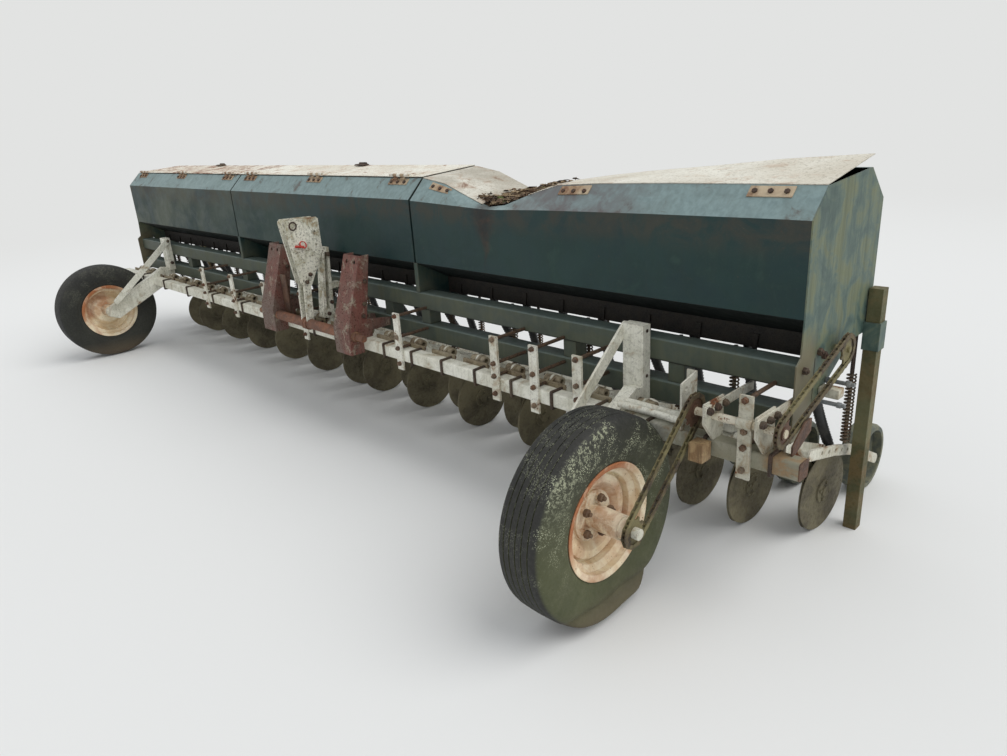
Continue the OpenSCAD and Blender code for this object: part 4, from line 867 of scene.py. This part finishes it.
# Hitch posts and cross shaft
# Pressed steel channels in faded red paint, gone grey and brown, welded to the tool bar. The heavy
# shaft through their feet is rusted right over.
def red_paint(tree):
    w = use(tree, weather, Size=1.8)
    e = use(tree, edges, Radius=0.004, Amount=0.9)
    rusty = most(tree, step(tree, w["Chips"], 0.54, 0.60), e["Mask"])
    paint = over(tree, mix(tree, step(tree, w["Patches"], 0.40, 0.60), (118, 72, 62), (110, 92, 82)),
                 (step(tree, w["Streaks"], 0.42, 0.68, 0, 0.6), (92, 80, 70)),
                 (step(tree, w["Blotches"], 0.54, 0.64, 0, 0.85), (148, 138, 120)),
                 (rusty, mix(tree, w["Grain"], (96, 52, 36), (54, 40, 34))))
    tall = plus(tree, rusty, times(tree, w["Grain"], 0.3))
    return surface(tree, paint, w["Chips"], 0.55, 0.85, tall, 0.5, 0.0015, e["Round"])


coat(finish("faded_red_paint", red_paint), "hitch_posts")
coat(bare_steel("shaft_rust", (132, 88, 64), (100, 70, 56), (150, 120, 84), 0.6, 1.6), "cross_shaft")


# Hitch trim
# Steel bolts through the posts, mast and stay, the worn ring round the top link hole, a red clip
# on its eye bolt, and a rusty flat bar clamped upright on the tool bar beside the far post.
mast_face = 272
posts = [(x, y, z) for x in (-108, 732) for y, z in ((-136, 905), (-156, 785), (-172, 722))]
mast = [(mast_face, y, z) for y, z in ((-196, 905), (-224, 866), (-66, 1000), (-84, 720), (-112, 655))]
hitch_bolts = towards_near(posts + mast)
settle(repeat(hex_head(0.022, 0.010, 0.006), hitch_bolts), "hitch_bolts", black_rust)


def spun(piece, steps, axis, nearness):
    """Spins a piece's outline once round an axis through the origin and closes the seam."""
    activate(piece)
    bpy.ops.object.mode_set(mode="EDIT")
    bpy.ops.mesh.select_all(action="SELECT")
    bpy.ops.mesh.spin(steps=steps, angle=math.tau, center=(0, 0, 0), axis=axis)
    bpy.ops.mesh.select_all(action="SELECT")
    bpy.ops.mesh.remove_doubles(threshold=nearness)
    bpy.ops.mesh.normals_make_consistent(inside=False)
    bpy.ops.object.mode_set(mode="OBJECT")
    return piece


def ring(radius, wire, place, direction):
    """A ring of round wire: a small circle spun round an axis."""
    bpy.ops.object.select_all(action="DESELECT")
    bpy.ops.mesh.primitive_circle_add(vertices=8, radius=wire, rotation=(math.pi / 2, 0, 0),
                                      location=(radius, 0, 0))
    bpy.ops.object.transform_apply(location=True, rotation=True, scale=True)
    item = spun(bpy.context.object, 28, (0, 0, 1), 0.00005)
    item.data.transform(facing_along(place, direction, 0.0))
    return item


def clip_red(tree):
    w = use(tree, weather, Size=6.0)
    red = mix(tree, step(tree, w["Chips"], 0.5, 0.62), (186, 52, 40), (128, 58, 44))
    return surface(tree, red, w["Chips"], 0.35, 0.7, w["Chips"], 0.3, 0.0008)


def plate(low, high, round_edge=0.0015):
    """A flat steel piece between two corners, with its edges broken."""
    size = high - low
    item = shaped(cube, inset("y", -1, min(size.x, size.z) * 0.12, 0.0), size=1, scale=size,
                  location=(low + high) / 2)
    modify(item, "BEVEL", width=round_edge, segments=2)
    return item


settle(ring(0.021, 0.0045, at(mast_face, -257, 1186), (1, 0, 0)), "top_link_ring", black_rust)
clip_pin = shaped(cylinder, inset("y", 0, 0.002, 0.003), vertices=12, radius=0.0065, depth=0.05,
                  location=at(279, -238, 1070), rotation=(math.radians(80), 0, 0))
settle(join(ring(0.020, 0.0035, at(279, -214, 1078), (1, 0.2, 0.5)), clip_pin), "red_clip",
       finish("clip_red_paint", clip_red))
settle(plate(at(-98, -199, 602), at(-30, -189, 868)), "clamped_flat_bar", rust_brown)


# Drive trim
# Steel bolt heads on the bars that hold the jackshaft and on the two wheel arms' posts, and two
# zinc rods with their nuts and a small block of painted steel, all bolted to the end panel.
drive_bolts = [(x, y, 723) for x in (2854, 3038) for y in (-240, -190, -140)]
drive_bolts += [(2721, -120, 650), (2721, -160, 690)]
drive_bolts += [(3048, y, z) for y, z in ((128, 868), (166, 846), (60, 640), (20, 830))]
drive_bolts += [(x, -23, z) for x in (2442, -2362) for z in (882, 700)]
settle(repeat(hex_head(0.024, 0.012, 0.006), towards_near(drive_bolts)), "drive_bolts", black_rust)
rod_spots = ((210, 742), (140, 687))
rods = [shaped(cylinder, inset("x", 1, 0.002, 0.002), vertices=16, radius=0.0075, depth=0.1,
               location=at(3097, y, z), rotation=(0, math.pi / 2, 0)) for y, z in rod_spots]
rod_nuts = towards_near([(x, y, z) for x in (3050, 3122) for y, z in rod_spots])
settle(join(*rods, repeat(hex_head(0.02, 0.012), rod_nuts)), "end_panel_rods",
       bare_steel("dull_zinc", (118, 124, 128), (92, 94, 94), (150, 150, 142), 0.4, 4, 0.4))
settle(plate(at(3049, 148, 700), at(3121, 196, 734), 0.004), "adjuster_block", strap_cream)


# Tyres and rims
# Ribbed rubber tyres on 15 inch steel discs. The rubber is grey with lichen above and green below,
# the rims rust orange where the paint has gone, and the flat near tyre's wall has sunk into a fold.
wheel_x, wheel_y, wheel_z = 2592, -545, 375 * math.cos(math.pi / 44)
hub_y, hub_z = front_y - 0.545, 0.374


def rubber(green, white):
    """Old tyre rubber, by how much moss is on its walls and how much lichen on its shoulders."""
    def build(tree):
        w = use(tree, weather, Size=1.4)
        z = spot_on(tree)["Z"]
        out = add(tree, "Math", {"operation": "ABSOLUTE"}, _0=facing_on(tree)["X"]).outputs[0]
        wall = step(tree, out, 0.45, 0.85)
        moss = times(tree, step(tree, w["Patches"], 0.30, 0.55, 0.55 * green, green),
                     times(tree, step(tree, z, 0.80, 0.30), wall))
        cells = add(tree, "TexVoronoi", Vector=add(tree, "TexCoord").outputs["Object"], Scale=190.0,
                    Randomness=1.0).outputs["Distance"]
        lichen = times(tree, step(tree, w["Blotches"], 0.47, 0.60), step(tree, z, 0.15, 0.66),
                       step(tree, out, 0.02, 0.45, 0.35 * white, white))
        crust = times(tree, step(tree, w["Chips"], 0.50, 0.58), step(tree, w["Patches"], 0.52, 0.60),
                      step(tree, z, 0.45, 0.66), wall, 0.75 * white)
        spots = most(tree, times(tree, step(tree, cells, 0.46, 0.22), lichen), crust)
        black = over(
            tree, mix(tree, step(tree, w["Patches"], 0.35, 0.65), (26, 27, 26), (40, 40, 37)),
            (moss, mix(tree, w["Blotches"], (54, 60, 32), (92, 94, 66))),
            (times(tree, step(tree, z, 0.16, 0.02), 0.7), (96, 84, 66)),
            (spots, (176, 180, 152)))
        tall = plus(tree, times(tree, spots, 0.6), w["Chips"])
        return surface(tree, black, w["Chips"], 0.6, 0.85, tall, 0.5, 0.0015)
    return build


def rim_paint(tree):
    """Cream paint, with orange rust along the flange, most of it above and ahead."""
    w = use(tree, weather, Size=1.5)
    e = use(tree, edges, Radius=0.004, Amount=0.8)
    spot = spot_on(tree)
    cream = mix(tree, step(tree, w["Blotches"], 0.40, 0.60), (238, 226, 198), (222, 200, 164))
    orange = mix(tree, w["Chips"], (188, 122, 76), (142, 84, 54))
    rise, ahead = less(tree, spot["Z"], hub_z), less(tree, hub_y, spot["Y"])
    upper = step(tree, plus(tree, times(tree, rise, 0.9), times(tree, ahead, 0.6)), -0.03, 0.16)
    flange = times(tree, step(tree, reach_from(tree, hub_y, hub_z), 0.165, 0.19), upper,
                   step(tree, w["Blotches"], 0.3, 0.52, 0.4, 1.0))
    rusty = most(tree, step(tree, w["Patches"], 0.50, 0.66, 0, 0.8), step(tree, w["Chips"], 0.61, 0.67),
                 flange, e["Mask"])
    paint = over(tree, cream, (rusty, orange), (step(tree, w["Chips"], 0.62, 0.68, 0, 0.8), (66, 40, 30)))
    return surface(tree, paint, w["Chips"], 0.5, 0.85, w["Chips"], 0.4, 0.0015, e["Round"])


def tyre_outline():
    """The tyre's section, as places across the wheel and radii: grooved tread, wall, bead and bore."""
    groove_half, groove_depth, outer_bead = 2.3, 6.5, 79
    tread = []
    for middle in (0, 26, 52):
        lip = 373.6 - 3.6 * (middle / 74) ** 2
        tread += [(middle - groove_half, lip), (middle - groove_half * 0.7, lip - groove_depth),
                  (middle + groove_half * 0.7, lip - groove_depth), (middle + groove_half, lip)]
    side = [(66, 371.2), (74, 369.4), (82, 364.5), (88.5, 357), (91.2, 351), (93.5, 345), (95.4, 338),
            (97, 330), (98.2, 322), (99, 315), (99.5, 306), (99.8, 298), (99.9, 291), (100, 284),
            (98.6, 268), (97.2, 262), (97.4, 257), (95.2, 252), (91.5, 240), (88.5, 234), (88.9, 229),
            (86.4, 222), (82, 216), (78.9, 212.9), (76.5, 204), (74.0, 195.2), (60, 194.8)]
    right = tread[2:] + side
    return right + [(-x if x < outer_bead else -outer_bead - (x - outer_bead) * 0.45, r)
                    for x, r in reversed(right)]


def ribbed_tyre():
    outline = tyre_outline()
    mesh = bpy.data.meshes.new("tyre")
    mesh.from_pydata([(x / 1000, 0, r / 1000) for x, r in outline],
                     [(k, (k + 1) % len(outline)) for k in range(len(outline))], [])
    return spun(made("tyre", mesh), 112, (1, 0, 0), 0.0001)


near_tyre = ribbed_tyre()
wall_start, wall_wide, fold_z, bulge_z = 0.05, 0.035, -0.286, -0.330
for vertex in near_tyre.data.vertices:
    x, y, z = vertex.co
    outer = max(0.0, min(1.0, (x - wall_start) / wall_wide))
    sway = 0.006 * math.sin(y * 26)
    bulge = 0.017 * math.exp(-((z - bulge_z - sway) / 0.024) ** 2)
    crease = 0.012 * math.exp(-((z - fold_z - sway) / 0.013) ** 2)
    vertex.co.x += outer * (bulge - crease)
coat(finish("rusty_rim", rim_paint), "rim_near", "rim_far")
for tyre, end, side, skin in ((near_tyre, "near", 1, finish("weathered_rubber", rubber(1.0, 1.0))),
                              (ribbed_tyre(), "far", -1, finish("black_rubber", rubber(0.1, 0.2)))):
    tyre.data.transform(Matrix.Translation(at(side * wheel_x, wheel_y, wheel_z)))
    settle(tyre, "ribbed_tyre_" + end, skin, "wheel_" + end, 40)
    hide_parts("tyre_" + end)


# Wheel bolts
# Five rusty steel nuts that hold each rim on its hub, and the four small bolts of the cap over
# the hub's bearing.
def bolt_circle(side, count, start, out, radius):
    """Places evenly round a wheel's axle, this far out from its middle, facing outwards."""
    hub = at(side * wheel_x, wheel_y, wheel_z)
    return [facing_along(hub + Vector((side * out, radius * math.cos(a), radius * math.sin(a))), (side, 0, 0))
            for a in (math.radians(360 / count * k + start) for k in range(count))]


lug_rust = bare_steel("lug_rust", (92, 62, 44), (70, 50, 40), (140, 122, 96), 0.4, 5)
for side, end in ((1, "near"), (-1, "far")):
    nuts = repeat(hex_head(0.026, 0.014, 0.012), bolt_circle(side, 5, 0, 0.024, 0.070))
    caps = repeat(hex_head(0.013, 0.006), bolt_circle(side, 4, 20, 0.158, 0.026))
    settle(join(nuts, caps), "wheel_nuts_" + end, lug_rust, "wheel_" + end)


# Parking stands
# Square steel tube in old brown paint, mossy on the shaded faces. Each stand slides in a sleeve on
# its end panel.
coat(bare_steel("mossy_stand_paint", (98, 82, 48), (74, 74, 44), (116, 116, 84), 0.5, 1.5),
     "stand_near", "stand_far")
